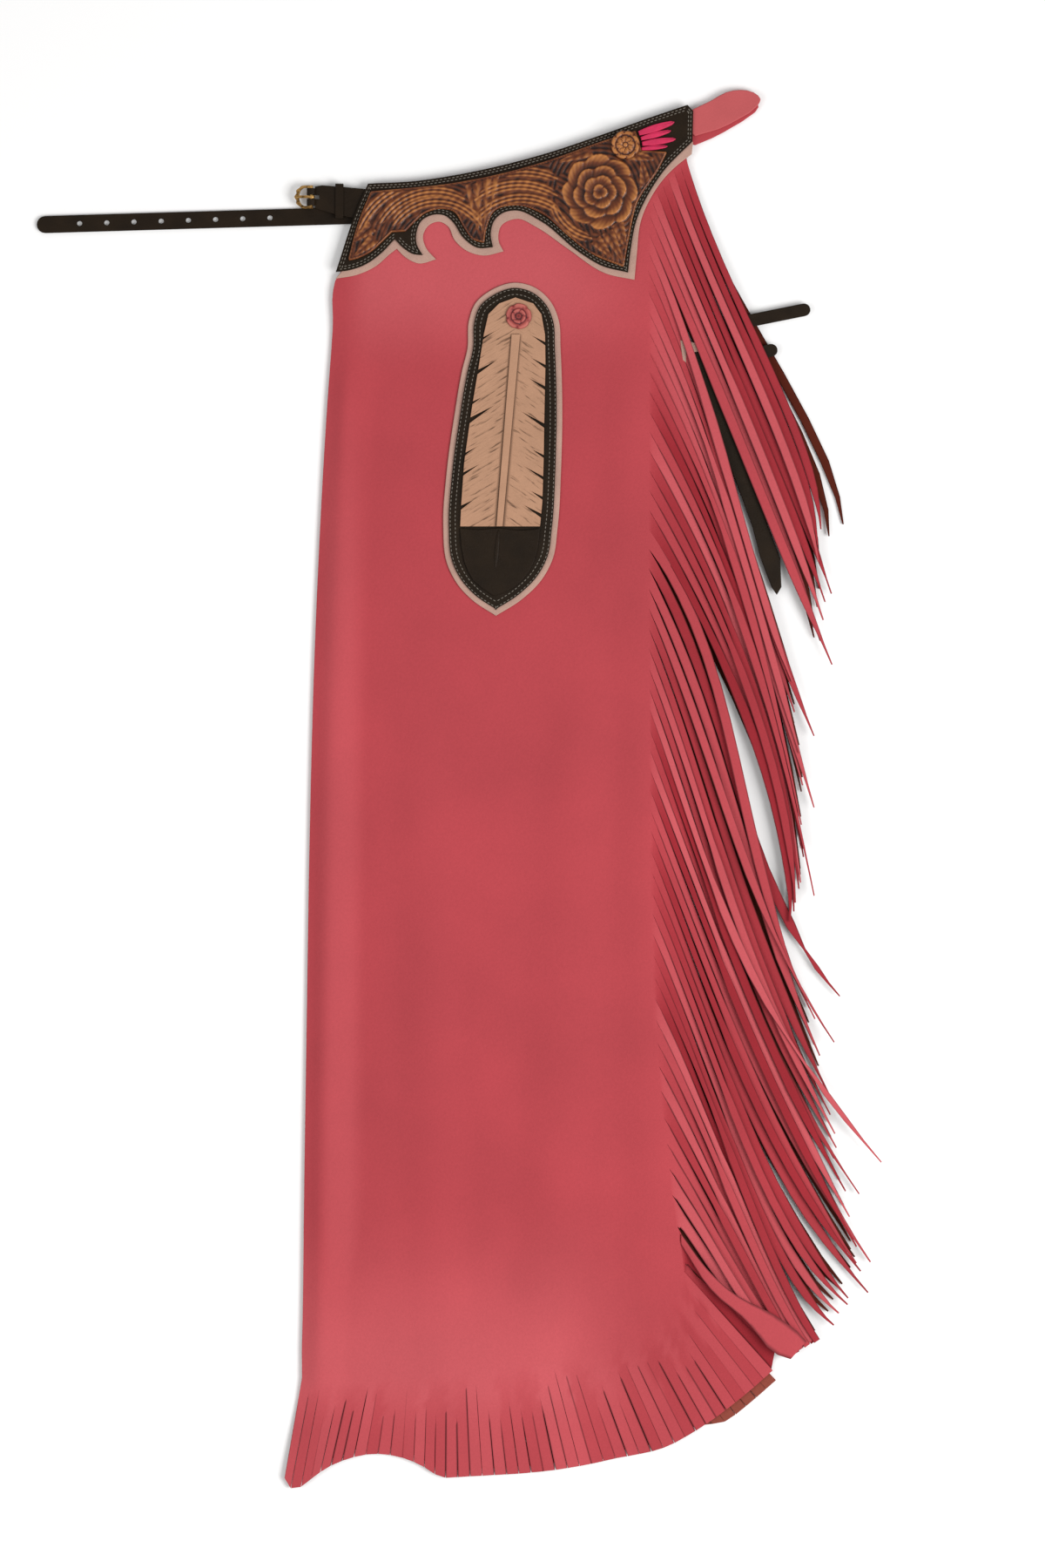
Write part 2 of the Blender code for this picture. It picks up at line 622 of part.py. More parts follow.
UNDERLAY_OUTLINE = (               # scalloped from the inner corner to the front end, then back inside
    (-92.0, 381.7, CORNER), (-75.7, 384.7), (-62.0, 391.0), (-50.8, 400.6), (-46.3, 404.0, CORNER),
    (-40.5, 398.2), (-30.0, 393.1), (-17.0, 396.1, CORNER), (-24.6, 405.0), (-26.7, 413.5), (-22.3, 421.6),
    (-14.5, 424.2), (-8.0, 420.6), (-3.5, 411.0), (5.9, 402.5), (18.0, 399.0), (33.3, 402.1, CORNER),
    (29.6, 410.0), (31.6, 421.2), (43.7, 426.4), (57.0, 420.6), (80.8, 404.3), (109.5, 385.6),
    (130.9, 380.9, CORNER), (132.6, 399.0), (136.1, 426.2), (142.8, 441.5), (152.4, 455.8), (161.8, 465.4),
    (173.6, 474.5, CORNER), (174.6, 483.6, CORNER), (163.0, 492.0, CORNER), (105.0, 478.0), (24.0, 455.0),
    (-50.0, 443.0, CORNER), (-58.0, 424.0, CORNER), (-84.0, 391.0, CORNER),
)
BORDER_OUTLINE = (
    (-91.7, 386.6, CORNER), (-82.6, 387.7), (-70.7, 391.6), (-58.0, 400.4), (-47.8, 411.0, CORNER),
    (-40.5, 403.8), (-33.9, 399.9), (-26.9, 399.1, CORNER), (-31.4, 407.5), (-31.4, 416.5), (-28.0, 424.5),
    (-21.9, 428.4), (-15.9, 429.5), (-10.0, 428.4), (-5.0, 424.5), (3.9, 411.5), (14.0, 404.6),
    (25.4, 405.0, CORNER), (23.8, 415.0), (26.8, 425.4), (33.0, 430.6), (43.0, 432.4), (59.8, 425.2),
    (90.4, 400.8), (107.0, 391.0), (126.1, 386.2, CORNER), (128.2, 404.0), (132.4, 425.0), (142.8, 447.2),
    (152.4, 461.5), (174.2, 483.9, CORNER), (174.7, 506.5, CORNER), (170.4, 511.1, CORNER), (142.8, 501.8),
    (104.7, 488.2), (66.5, 475.4), (24.0, 464.2), (-6.0, 458.2), (-31.9, 454.4), (-67.7, 452.4, CORNER),
    (-75.0, 436.0),
)
TOOLED_OUTLINE = (
    (-82.6, 394.6, CORNER), (-75.7, 396.4), (-65.7, 401.2), (-55.9, 410.0), (-49.8, 416.0, CORNER),
    (-39.8, 416.5, CORNER), (-31.9, 424.5), (-26.0, 429.5), (-15.0, 433.2), (-4.0, 431.4), (3.9, 419.4),
    (10.5, 410.6), (18.9, 408.0, CORNER), (20.8, 419.4), (26.8, 432.0), (43.7, 435.9), (61.8, 430.0),
    (80.6, 414.0), (98.0, 400.5), (122.8, 390.0, CORNER), (126.6, 410.9), (133.3, 438.8), (148.5, 462.5),
    (155.2, 475.8, CORNER), (136.1, 476.8, CORNER), (131.5, 491.5, CORNER), (104.7, 483.0), (66.5, 469.4),
    (34.0, 460.2), (-11.0, 451.6), (-36.0, 449.0), (-65.7, 446.3, CORNER), (-75.0, 423.0),
)
ROSE_CENTRE = (105.0, 446.0)
ROSE_RINGS = (                     # radius, petals, turn in degrees, how far the petals stand out
    (5.0, 3, 0.0, 0.6),
    (11.5, 5, 20.0, 1.0),
    (18.5, 6, 50.0, 1.4),
    (26.5, 8, 10.0, 1.6),
)
SCROLLS = (                        # carved arcs: centre x, centre y, radius, from degrees, to degrees
    (-16.0, 400.0, 39.0, 32.0, 148.0),
    (-18.0, 399.0, 47.0, 62.0, 150.0),
    (-22.0, 396.0, 57.0, 104.0, 164.0),
    (47.0, 396.0, 45.0, 52.0, 140.0),
    (45.0, 397.0, 54.0, 58.0, 128.0),
    (48.0, 398.0, 63.0, 66.0, 106.0),
    (104.0, 446.0, 35.0, 196.0, 262.0),
)
LEAVES = (                         # carved leaves: base x, base y, point x, point y
    (-64.0, 410.0, -78.0, 398.0), (-66.0, 419.0, -80.0, 408.0), (10.0, 448.0, 14.5, 416.0),
    (17.5, 452.0, 18.0, 413.0), (25.0, 455.0, 20.5, 424.0), (112.0, 414.0, 122.5, 394.0),
    (119.0, 420.0, 125.5, 402.0), (103.0, 409.0, 114.0, 397.0), (139.0, 452.0, 136.0, 470.0),
    (129.0, 474.0, 146.0, 470.0), (96.0, 476.0, 74.0, 468.0),
)
CARVING_DEPTH = 1.0
CARVED_RIDGE = 2.9                 # half width of a carved ridge
SCROLL_TAPER = 12.0                # degrees over which an arc fades at each end
LEAF_BUTT = 1.25                   # a leaf's base is this much wider than a ridge
CARVING_GRID = 3.2
SAME_LEVEL = 0.01


def ridge(distance, half_width):
    return max(0.0, 1 - (distance / half_width) ** 2)


def carving(x, y):
    """Height of the carved relief above the tooled panel's ground."""
    best = 0.0
    here = Vector((x, y))
    from_rose = here - Vector(ROSE_CENTRE)
    bearing = math.atan2(from_rose.y, from_rose.x)
    for radius, petals, turn, wave in ROSE_RINGS:
        edge = radius + wave * abs(math.cos(petals / 2 * (bearing - math.radians(turn)))) * 2 - wave
        best = max(best, ridge(from_rose.length - edge, CARVED_RIDGE))
    for centre_x, centre_y, radius, start, end in SCROLLS:
        out = here - Vector((centre_x, centre_y))
        angle = math.degrees(math.atan2(out.y, out.x)) % 360
        if start < angle < end:
            narrowing = min(1.0, (angle - start) / SCROLL_TAPER, (end - angle) / SCROLL_TAPER)
            best = max(best, ridge(out.length - radius, CARVED_RIDGE) * narrowing)
    for base_x, base_y, point_x, point_y in LEAVES:
        base, point = Vector((base_x, base_y)), Vector((point_x, point_y))
        along = min(max((here - base).dot(point - base) / (point - base).length_squared, 0.0), 1.0)
        best = max(best, ridge((here - base.lerp(point, along)).length, CARVED_RIDGE * (LEAF_BUTT - along)))
    return CARVING_DEPTH * best


def carve_top(bm, spacing):
    """Cuts the plate's top along a grid and raises it by the carving, but for its rim."""
    top = max(v.co.z for v in bm.verts)
    for axis in (0, 1):
        normal = Vector((1.0 - axis, float(axis), 0.0))
        low, high = (f(v.co[axis] for v in bm.verts) for f in (min, max))
        for k in range(math.ceil(low / spacing), math.floor(high / spacing) + 1):
            faces = [f for f in bm.faces if f.calc_center_median().z > top - SAME_LEVEL]
            parts = {e for f in faces for e in f.edges} | {v for f in faces for v in f.verts} | set(faces)
            place = normal * k * spacing
            bmesh.ops.bisect_plane(bm, geom=list(parts), plane_co=place, plane_no=normal, dist=SAME_LEVEL)
    for v in bm.verts:
        if all(f.calc_center_median().z > top - SAME_LEVEL for f in v.link_faces):
            v.co.z += carving(v.co.x, v.co.y)


add_part("yoke_underlay", plate([smooth(UNDERLAY_OUTLINE, 2, True)], UNDERLAY_LEVEL, UNDERLAY_LEATHER), TAN)
add_part("yoke_border", plate([smooth(BORDER_OUTLINE, 2, True)], BORDER_LEVEL, BORDER_LEATHER), BLACK)
tooled = plate([smooth(TOOLED_OUTLINE, 2, True)], TOOLING_LEVEL, TOOLED_LEATHER)
carve_top(tooled, CARVING_GRID)
add_part("yoke_tooling", tooled, TOOLED)

# Rosette and lace at the front end, and the turned-over end of the lace tab
CONCHO_CENTRE, CONCHO_RADIUS, CONCHO_WAVE, CONCHO_LOBES = (124.0, 480.6), 10.6, 0.8, 8
CONCHO_LEATHER, CONCHO_RIM, CONCHO_RISE = 1.8, 2.6, 1.0
CONCHO_LEVEL = TOOLING_LEVEL + TOOLED_LEATHER + CARVING_DEPTH + SEAM_GAP
LACES = (                          # start x, start y, end x, end y, width at the start
    (135.8, 490.0, 160.5, 498.0, 4.2),
    (137.0, 485.9, 158.0, 491.4, 2.8),
    (137.6, 481.8, 161.5, 485.4, 3.8),
    (138.2, 478.1, 155.5, 480.4, 1.8),
)
LACE_THICKNESS, LACE_END = 1.8, 1.6
TAB_UPPER = (
    (169.3, 493.0, CORNER), (176.0, 488.0, CORNER), (192.8, 492.9), (208.6, 500.7), (222.8, 510.8),
    (225.0, 515.6), (219.6, 520.6), (210.1, 522.5), (199.1, 520.6), (188.1, 514.5), (174.5, 508.0, CORNER),
    (169.3, 505.0, CORNER),
)
TAB_LOWER = (
    (169.0, 484.5, CORNER), (176.0, 481.4, CORNER), (188.1, 486.4), (205.4, 495.7), (216.5, 502.8),
    (223.5, 509.9), (222.0, 514.5), (210.0, 513.0), (190.0, 504.0), (169.0, 494.0, CORNER),
)
TAB_UPPER_LEVEL = BORDER_LEVEL - SEAM_GAP - LEG_LEATHER
TAB_LOWER_LEVEL = TAB_UPPER_LEVEL - SEAM_GAP - STRAP_LEATHER

concho_line = turned_outline(CONCHO_CENTRE, CONCHO_RADIUS, 24, CONCHO_WAVE, CONCHO_LOBES)
rosette = plate([concho_line], CONCHO_LEVEL, CONCHO_LEATHER)
top_face = max(rosette.faces, key=lambda f: f.calc_center_median().z)
bmesh.ops.inset_region(rosette, faces=[top_face], thickness=CONCHO_RIM, depth=CONCHO_RISE)
add_part("rosette", rosette, TOOLED)


def strip_outline(start, end, start_width, end_width, rounding=6):
    """A strip with a square start and a rounded end."""
    start, end = Vector(start), Vector(end)
    way = (end - start).normalized()
    side = Vector((-way.y, way.x))
    radius = end_width / 2
    centre = end - way * radius
    outline = [start + side * start_width / 2]
    for k in range(rounding + 1):
        angle = math.pi * (0.5 - k / rounding)
        outline.append(centre + (way * math.cos(angle) + side * math.sin(angle)) * radius)
    outline.append(start - side * start_width / 2)
    return outline


for number, (x0, y0, x1, y1, width) in enumerate(LACES, 1):
    lace = strip_outline((x0, y0), (x1, y1), width, LACE_END, 4)
    add_part(f"lace_{number}", plate([lace], TOOLING_LEVEL, LACE_THICKNESS), LACE)
add_part("lace_tab_upper", plate([smooth(TAB_UPPER, 2, True)], TAB_UPPER_LEVEL, LEG_LEATHER), PINK)
add_part("lace_tab_lower", plate([smooth(TAB_LOWER, 2, True)], TAB_LOWER_LEVEL, STRAP_LEATHER), PINK)


# ----------------------------------------------------------------------------------------------------------
# Feather patch on the thigh: tan underlay, black surround, the feather with its quill and tip, a small rose

PATCH_OUTLINE = (
    (41.5, 378.8), (24.2, 373.3), (12.3, 363.4), (7.4, 350.0), (6.4, 330.0), (2.3, 313.0), (-3.2, 281.0),
    (-9.4, 235.0), (-11.7, 198.0), (-8.6, 168.7), (-1.0, 154.0), (9.2, 142.9), (27.6, 130.5, CORNER),
    (47.0, 142.8), (62.0, 157.8), (70.0, 173.0), (73.6, 196.0), (76.2, 240.0), (77.1, 285.0), (75.8, 330.0),
    (74.4, 351.0), (68.9, 364.0), (57.0, 375.0),
)
PATCH_RIM = 4.2                    # how far the underlay shows
FEATHER_SIDES = (                  # y, left x, right x
    (363.0, 30.0, 55.5),
    (355.0, 22.0, 61.5),
    (340.0, 18.6, 64.2),
    (320.0, 15.5, 64.6),
    (285.0, 9.6, 63.8),
    (245.0, 4.0, 63.2),
    (215.0, 1.8, 62.2),
    (197.0, 1.0, 60.5),
)
FEATHER_TOP = (42.2, 367.5)
SPLITS = (                         # gaps between the barbs: side, y at the margin, depth, width
    (-1, 337.0, 8.0, 1.8), (-1, 312.0, 13.0, 3.4), (-1, 289.0, 6.0, 2.0), (-1, 276.0, 17.0, 4.2),
    (-1, 251.0, 8.0, 1.8), (-1, 236.0, 11.0, 2.4), (-1, 211.0, 9.0, 3.0),
    (1, 333.0, 9.0, 2.4), (1, 316.0, 10.0, 2.4), (1, 300.0, 11.0, 2.6), (1, 272.0, 16.0, 3.2),
    (1, 249.0, 8.0, 2.2), (1, 233.0, 13.0, 2.4), (1, 218.0, 8.0, 2.2), (1, 205.0, 12.0, 2.8),
)
BARB_SLOPE = 0.62                  # the barbs rise this much towards the quill for each step in
TIP_OUTLINE = (                    # the dark tip below the barbs
    (0.9, 195.4, CORNER), (4.0, 171.0), (11.0, 156.5), (25.8, 145.4, CORNER), (40.0, 151.0), (52.0, 163.0),
    (58.6, 180.0), (60.3, 195.4, CORNER), (45.0, 194.0), (30.0, 195.8), (15.0, 194.6),
)
QUILL_TOP = (340.0, 42.5, 6.4)     # y, x, width
QUILL_END = (197.0, 30.3, 4.6)
SMALL_ROSE_CENTRE, SMALL_ROSE_RADIUS = (44.6, 353.4), 9.6
SMALL_ROSE_WAVE, SMALL_ROSE_PETALS = 0.7, 5
QUILL_LEATHER, SMALL_ROSE_LEATHER = 1.0, 0.9
SURROUND_LEVEL = UNDERLAY_LEVEL + UNDERLAY_LEATHER + SEAM_GAP
FEATHER_LEVEL = SURROUND_LEVEL + PATCH_LEATHER + SEAM_GAP
QUILL_LEVEL = FEATHER_LEVEL + PATCH_LEATHER + SEAM_GAP


def feather_x(y, column):
    """One of the feather's edges at this height."""
    rows = [(row[column], row[0]) for row in FEATHER_SIDES]
    return across(rows, min(y, rows[0][1]))


def feather_side(side):
    """A side of the feather from top to bottom, going in and out at each split."""
    column = 1 if side < 0 else 2
    stretches = [(row[0], [Vector((row[column], row[0]))]) for row in FEATHER_SIDES]
    for split_side, y, depth, width in SPLITS:
        if split_side == side:
            margin = [Vector((feather_x(y + half, column), y + half)) for half in (width / 2, -width / 2)]
            inner = Vector((feather_x(y, column) - side * depth, y + depth * BARB_SLOPE))
            stretches.append((y, [margin[0], inner, margin[1]]))
    stretches.sort(key=lambda stretch: -stretch[0])
    return [point for _, points in stretches for point in points]


patch_line = smooth(PATCH_OUTLINE, 2, True)
surround_line = beside(patch_line + patch_line[:1], PATCH_RIM)[:-1]
barbs_line = [Vector(FEATHER_TOP)] + feather_side(-1) + feather_side(1)[::-1]
quill_line = [Vector((x + width / 2, y)) for y, x, width in (QUILL_END, QUILL_TOP)]
quill_line += [Vector((x - width / 2, y)) for y, x, width in (QUILL_TOP, QUILL_END)]
add_part("patch_underlay", plate([patch_line], UNDERLAY_LEVEL, UNDERLAY_LEATHER), TAN)
add_part("patch_surround", plate([surround_line], SURROUND_LEVEL, PATCH_LEATHER), BLACK)
add_part("feather", plate([barbs_line], FEATHER_LEVEL, PATCH_LEATHER), CREAM)
add_part("feather_tip", plate([smooth(TIP_OUTLINE, 2, True)], FEATHER_LEVEL, PATCH_LEATHER), BLACK)
add_part("feather_quill", plate([quill_line], QUILL_LEVEL, QUILL_LEATHER), CREAM)
small_rose = turned_outline(SMALL_ROSE_CENTRE, SMALL_ROSE_RADIUS, 20, SMALL_ROSE_WAVE, SMALL_ROSE_PETALS)
add_part("feather_rose", plate([small_rose], QUILL_LEVEL, SMALL_ROSE_LEATHER), ROSE)


# ----------------------------------------------------------------------------------------------------------
# Leg straps, and the suede end that the third one is sewn to

LEG_STRAP_WIDTH = 9.5
LEG_STRAP_LEVEL = LOWER_LEVEL + LOWER_LEVELS * LEVEL_STEP
LEG_STRAPS = (                     # start x, start y, end x, end y
    (190.0, 345.0, 262.0, 359.5),
    (196.0, 320.0, 237.5, 329.5),
)
HANGING_STRAP = (                  # down between two locks of the fringe
    (170.0, 326.0, CORNER), (184.0, 287.0), (202.0, 242.0), (219.0, 196.0), (233.0, 152.0),
    (237.0, 146.0, CORNER), (240.5, 152.0), (231.0, 196.0), (215.0, 243.0), (196.0, 288.0),
    (181.0, 327.0, CORNER),
)
STRAP_END = ((165.0, 336.0), (167.0, 320.0), (169.5, 314.0), (169.6, 326.5), (180.8, 327.5), (176.0, 334.0))

for number, (x0, y0, x1, y1) in enumerate(LEG_STRAPS, 1):
    strap = strip_outline((x0, y0), (x1, y1), LEG_STRAP_WIDTH, LEG_STRAP_WIDTH, 8)
    add_part(f"leg_strap_{number}", plate([strap], LEG_STRAP_LEVEL, STRAP_LEATHER), BLACK)
add_part("leg_strap_3", plate([smooth(HANGING_STRAP, 2, True)], LEG_STRAP_LEVEL, STRAP_LEATHER), BLACK)
add_part("leg_strap_3_end", plate([STRAP_END], LEG_STRAP_LEVEL, STRAP_LEATHER), TAN)


# ----------------------------------------------------------------------------------------------------------
# Back strap: the billet on one legging, the buckle strap on the other

BILLET_START, BILLET_END = (-48.0, 430.2), (-315.0, 422.3)
BILLET_WIDTH, BILLET_LEATHER = 12.7, 2.0
HOLE_RADIUS, HOLE_SIDES = 2.0, 8
FIRST_HOLE, HOLE_PITCH, HOLE_COUNT = 32.0, 20.3, 8     # measured from the billet's tip

billet_way = (Vector(BILLET_START) - Vector(BILLET_END)).normalized()
billet_holes = [
    turned_outline(Vector(BILLET_END) + billet_way * (FIRST_HOLE + k * HOLE_PITCH), HOLE_RADIUS, HOLE_SIDES)
    for k in range(HOLE_COUNT)
]
billet = strip_outline(BILLET_START, BILLET_END, BILLET_WIDTH, BILLET_WIDTH, 8)
add_part("billet", plate([billet] + billet_holes, 0.0, BILLET_LEATHER), BLACK)

HEEL_BAR = (-110.0, 442.5, 5.8)    # middle of the bar that the frame and the tongue turn on
BAR_X, BAR_Y, BAR_Z = HEEL_BAR
BAR_RADIUS, PIVOT_PLAY = 1.3, 0.35
LOOP_RADIUS, LOOP_HALF_WIDTH = 3.4, 6.35
SLOT_HALF_WIDTH, SLOT_END_X = 1.5, -104.1
CHAPE_LEVEL, CHAPE_LEATHER = 3.4, 2.4
CHAPE_OUTLINE = (                  # from the loop to the yoke, under the yoke's border
    (-110.0, 448.85), (-107.2, 448.85), (-107.2, 450.3), (-102.0, 451.3), (-88.5, 450.4), (-71.1, 448.7),
    (-62.0, 447.2), (-68.0, 426.6), (-80.0, 427.4), (-91.0, 429.4), (-107.2, 434.3), (-107.2, 436.15),
    (-110.0, 436.15),
)


def bar(radius, half_width, sides):
    """A round bar along Y at the heel bar's place."""
    bm = bmesh.new()
    depth = 2 * half_width
    bmesh.ops.create_cone(bm, cap_ends=True, segments=sides, radius1=radius, radius2=radius, depth=depth)
    for v in bm.verts:
        v.co = Vector((BAR_X + v.co.x, BAR_Y + v.co.z, BAR_Z + v.co.y))
    return bm


chape = add_part("buckle_strap", plate([CHAPE_OUTLINE], CHAPE_LEVEL, CHAPE_LEATHER), BLACK)
slot_low = (BAR_X - 2 * LOOP_RADIUS, BAR_Y - SLOT_HALF_WIDTH, BAR_Z - 2 * LOOP_RADIUS)
slot_high = (SLOT_END_X, BAR_Y + SLOT_HALF_WIDTH, BAR_Z + 2 * LOOP_RADIUS)
combine(chape, bar(LOOP_RADIUS, LOOP_HALF_WIDTH, 16), "UNION")
combine(chape, bar(BAR_RADIUS + PIVOT_PLAY, 2 * LOOP_HALF_WIDTH, 16), "DIFFERENCE")
combine(chape, block(slot_low, slot_high), "DIFFERENCE")

# Frame: a scalloped bow, two arms and the heel bar
ARM_INNER, ARM_OUTER = 6.7, 8.6    # the frame's arms, from the strap's middle
ARM_LENGTH = 4.6
BOW_DEPTH, BOW_INNER_DEPTH = 7.4, 4.4
BOW_WAVE, BOW_LOBES = 0.7, 5
FRAME_THICKNESS = 2.4


def bow(depth, half_width, wave, steps):
    """The frame's round end past its arms, from +Y to -Y; the wave scallops its edge."""
    points = []
    for k in range(steps + 1):
        angle = math.pi * k / steps
        reach = depth + wave * math.cos(2 * BOW_LOBES * (angle - math.pi / 2))
        x = BAR_X - ARM_LENGTH - reach * math.sin(angle)
        points.append(Vector((x, BAR_Y + half_width * math.cos(angle))))
    return points


heel_x = BAR_X + BAR_RADIUS
frame_line = [Vector((heel_x, BAR_Y + ARM_OUTER))] + bow(BOW_DEPTH, ARM_OUTER, BOW_WAVE, 20)
frame_line += [Vector((heel_x, BAR_Y - ARM_OUTER)), Vector((heel_x, BAR_Y - ARM_INNER))]
frame_line += bow(BOW_INNER_DEPTH, ARM_INNER, 0.0, 10)[::-1] + [Vector((heel_x, BAR_Y + ARM_INNER))]
frame_plate = plate([frame_line], BAR_Z - FRAME_THICKNESS / 2, FRAME_THICKNESS)
frame = add_part("buckle_frame", frame_plate, BRASS, origin=HEEL_BAR)
combine(frame, bar(BAR_RADIUS, (ARM_INNER + ARM_OUTER) / 2, 12), "UNION")

# Tongue: an eye round the heel bar and a blade that rests on the bow
TONGUE_HALF_WIDTH, TONGUE_THICKNESS, TONGUE_REACH = 1.0, 1.2, 11.6
TONGUE_LEVEL = BAR_Z + FRAME_THICKNESS / 2 + SEAM_GAP
EYE_RADIUS = 2.7
EYE_FROM, EYE_STEP, EYE_POINTS = 205.0, 22.5, 12       # degrees, round from below the blade to above it
BLADE_FROM_ABOVE, BLADE_FROM_BELOW = 2.0, 4.0          # where the blade leaves the eye
POINT_SHARE = 0.7                                      # the blade's point is this much as thick

side_view = [
    (BAR_X + EYE_RADIUS * math.cos(angle), BAR_Z + EYE_RADIUS * math.sin(angle))
    for angle in (math.radians(EYE_FROM + EYE_STEP * k) for k in range(EYE_POINTS))
]
side_view += [
    (BAR_X - BLADE_FROM_ABOVE, TONGUE_LEVEL + TONGUE_THICKNESS),
    (BAR_X - TONGUE_REACH, TONGUE_LEVEL + TONGUE_THICKNESS * POINT_SHARE),
    (BAR_X - TONGUE_REACH, TONGUE_LEVEL),
    (BAR_X - BLADE_FROM_BELOW, TONGUE_LEVEL),
]
tongue_blade = bmesh.new()
loft(tongue_blade, [[(x, BAR_Y + side * TONGUE_HALF_WIDTH, z) for x, z in side_view] for side in (-1, 1)])
tongue = add_part("buckle_tongue", tongue_blade, BRASS, origin=HEEL_BAR)
combine(tongue, bar(BAR_RADIUS + PIVOT_PLAY, 2 * LOOP_HALF_WIDTH, 12), "DIFFERENCE")

# Keeper: a loop of leather round the buckle strap
KEEPER_FROM = (-92.0, 427.6)
KEEPER_TO = (-86.0, 451.4)
KEEPER_LEATHER = 1.0

keeper_low = Vector((*KEEPER_FROM, CHAPE_LEVEL - SEAM_GAP))
keeper_high = Vector((*KEEPER_TO, CHAPE_LEVEL + CHAPE_LEATHER + SEAM_GAP))
wall = Vector((0.0, KEEPER_LEATHER, KEEPER_LEATHER))
past = Vector((KEEPER_LEATHER, 0.0, 0.0))
keeper = add_part("keeper", block(keeper_low - wall, keeper_high + wall), BLACK)
combine(keeper, block(keeper_low - past, keeper_high + past), "DIFFERENCE")
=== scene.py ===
import math
import random

import bmesh
import bpy
from mathutils import Matrix, Vector
from mathutils.kdtree import KDTree


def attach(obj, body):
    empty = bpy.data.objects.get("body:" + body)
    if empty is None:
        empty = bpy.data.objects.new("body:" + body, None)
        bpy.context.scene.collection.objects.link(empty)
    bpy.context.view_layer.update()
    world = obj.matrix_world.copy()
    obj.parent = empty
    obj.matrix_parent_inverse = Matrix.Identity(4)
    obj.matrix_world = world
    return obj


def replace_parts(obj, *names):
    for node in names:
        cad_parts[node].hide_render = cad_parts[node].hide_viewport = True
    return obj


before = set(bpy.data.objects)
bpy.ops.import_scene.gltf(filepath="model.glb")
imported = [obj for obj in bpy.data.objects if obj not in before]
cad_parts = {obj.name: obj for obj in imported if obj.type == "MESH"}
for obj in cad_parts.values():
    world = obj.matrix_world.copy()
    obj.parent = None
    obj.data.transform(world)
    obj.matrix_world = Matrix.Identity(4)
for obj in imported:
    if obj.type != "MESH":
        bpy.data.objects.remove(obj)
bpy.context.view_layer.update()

# ----------------------------------------------------------
# Picture: the chaps lie on a plain pale floor under soft light, and the camera looks straight down on them.
# The main lamp stands on the right, so the folds are shaded softly along their left flanks.

MM = 0.001                         # the shapes below are worked out in millimetres
VIEW_CENTRE = (47.45, 5.2)
VIEW_HEIGHT, CAMERA_RISE, SENSOR = 1170.0, 3900.0, 36.0
FLOOR_GAP, FLOOR_REACH = 0.4, 6000.0
LAMPS = (                          # name, place in metres, size, watts
    ("key_lamp", (1.7, -0.5, 1.9), 1.5, 62.0),
    ("fill_lamp", (-1.8, -0.4, 2.0), 1.8, 26.0),
)
DAYLIGHT = 0.5


def add_object(name, data):
    """Puts an object with this data in the scene."""
    made = bpy.data.objects.new(name, data)
    bpy.context.scene.collection.objects.link(made)
    return made


def new_material(name, values):
    """A material, its node tree and its shader, with these values on the shader's own sockets."""
    made = bpy.data.materials.new(name)
    made.use_nodes = True
    shader = made.node_tree.nodes["Principled BSDF"]
    for socket, value in values.items():
        shader.inputs[socket].default_value = value
    return made, made.node_tree, shader


camera = add_object("camera", bpy.data.cameras.new("camera"))
camera.data.sensor_fit = "VERTICAL"
camera.data.sensor_height = SENSOR
camera.data.lens = SENSOR * CAMERA_RISE / VIEW_HEIGHT
camera.location = Vector((*VIEW_CENTRE, CAMERA_RISE)) * MM
bpy.context.scene.camera = camera
bpy.context.scene.view_settings.view_transform = "Standard"

floor = add_object("floor", bpy.data.meshes.new("floor"))
ground = bmesh.new()
bmesh.ops.create_grid(ground, x_segments=1, y_segments=1, size=FLOOR_REACH * MM)
bmesh.ops.translate(ground, vec=(0.0, 0.0, -FLOOR_GAP * MM), verts=ground.verts)
ground.to_mesh(floor.data)
ground.free()
PALE_FLOOR = new_material("pale_floor", {"Base Color": (0.86, 0.855, 0.85, 1.0), "Roughness": 0.9})[0]
floor.data.materials.append(PALE_FLOOR)

for lamp_name, place, size, power in LAMPS:
    lamp = add_object(lamp_name, bpy.data.lights.new(lamp_name, "AREA"))
    lamp.data.size = size
    lamp.data.energy = power
    lamp.location = place
    lamp.rotation_euler = (-Vector(place)).to_track_quat("-Z", "Y").to_euler()
world = bpy.data.worlds.new("soft_daylight")
world.use_nodes = True
sky = world.node_tree.nodes["Background"].inputs
sky["Color"].default_value, sky["Strength"].default_value = (1.0, 1.0, 1.0, 1.0), DAYLIGHT
bpy.context.scene.world = world


# ----------------------------------------------------------
# Upper legging: one side of soft pink leather, 2 mm thick. Its fringes are cut from the same sheet, so the
# strands go on from the panel's own edge, and each slit ends in a point.

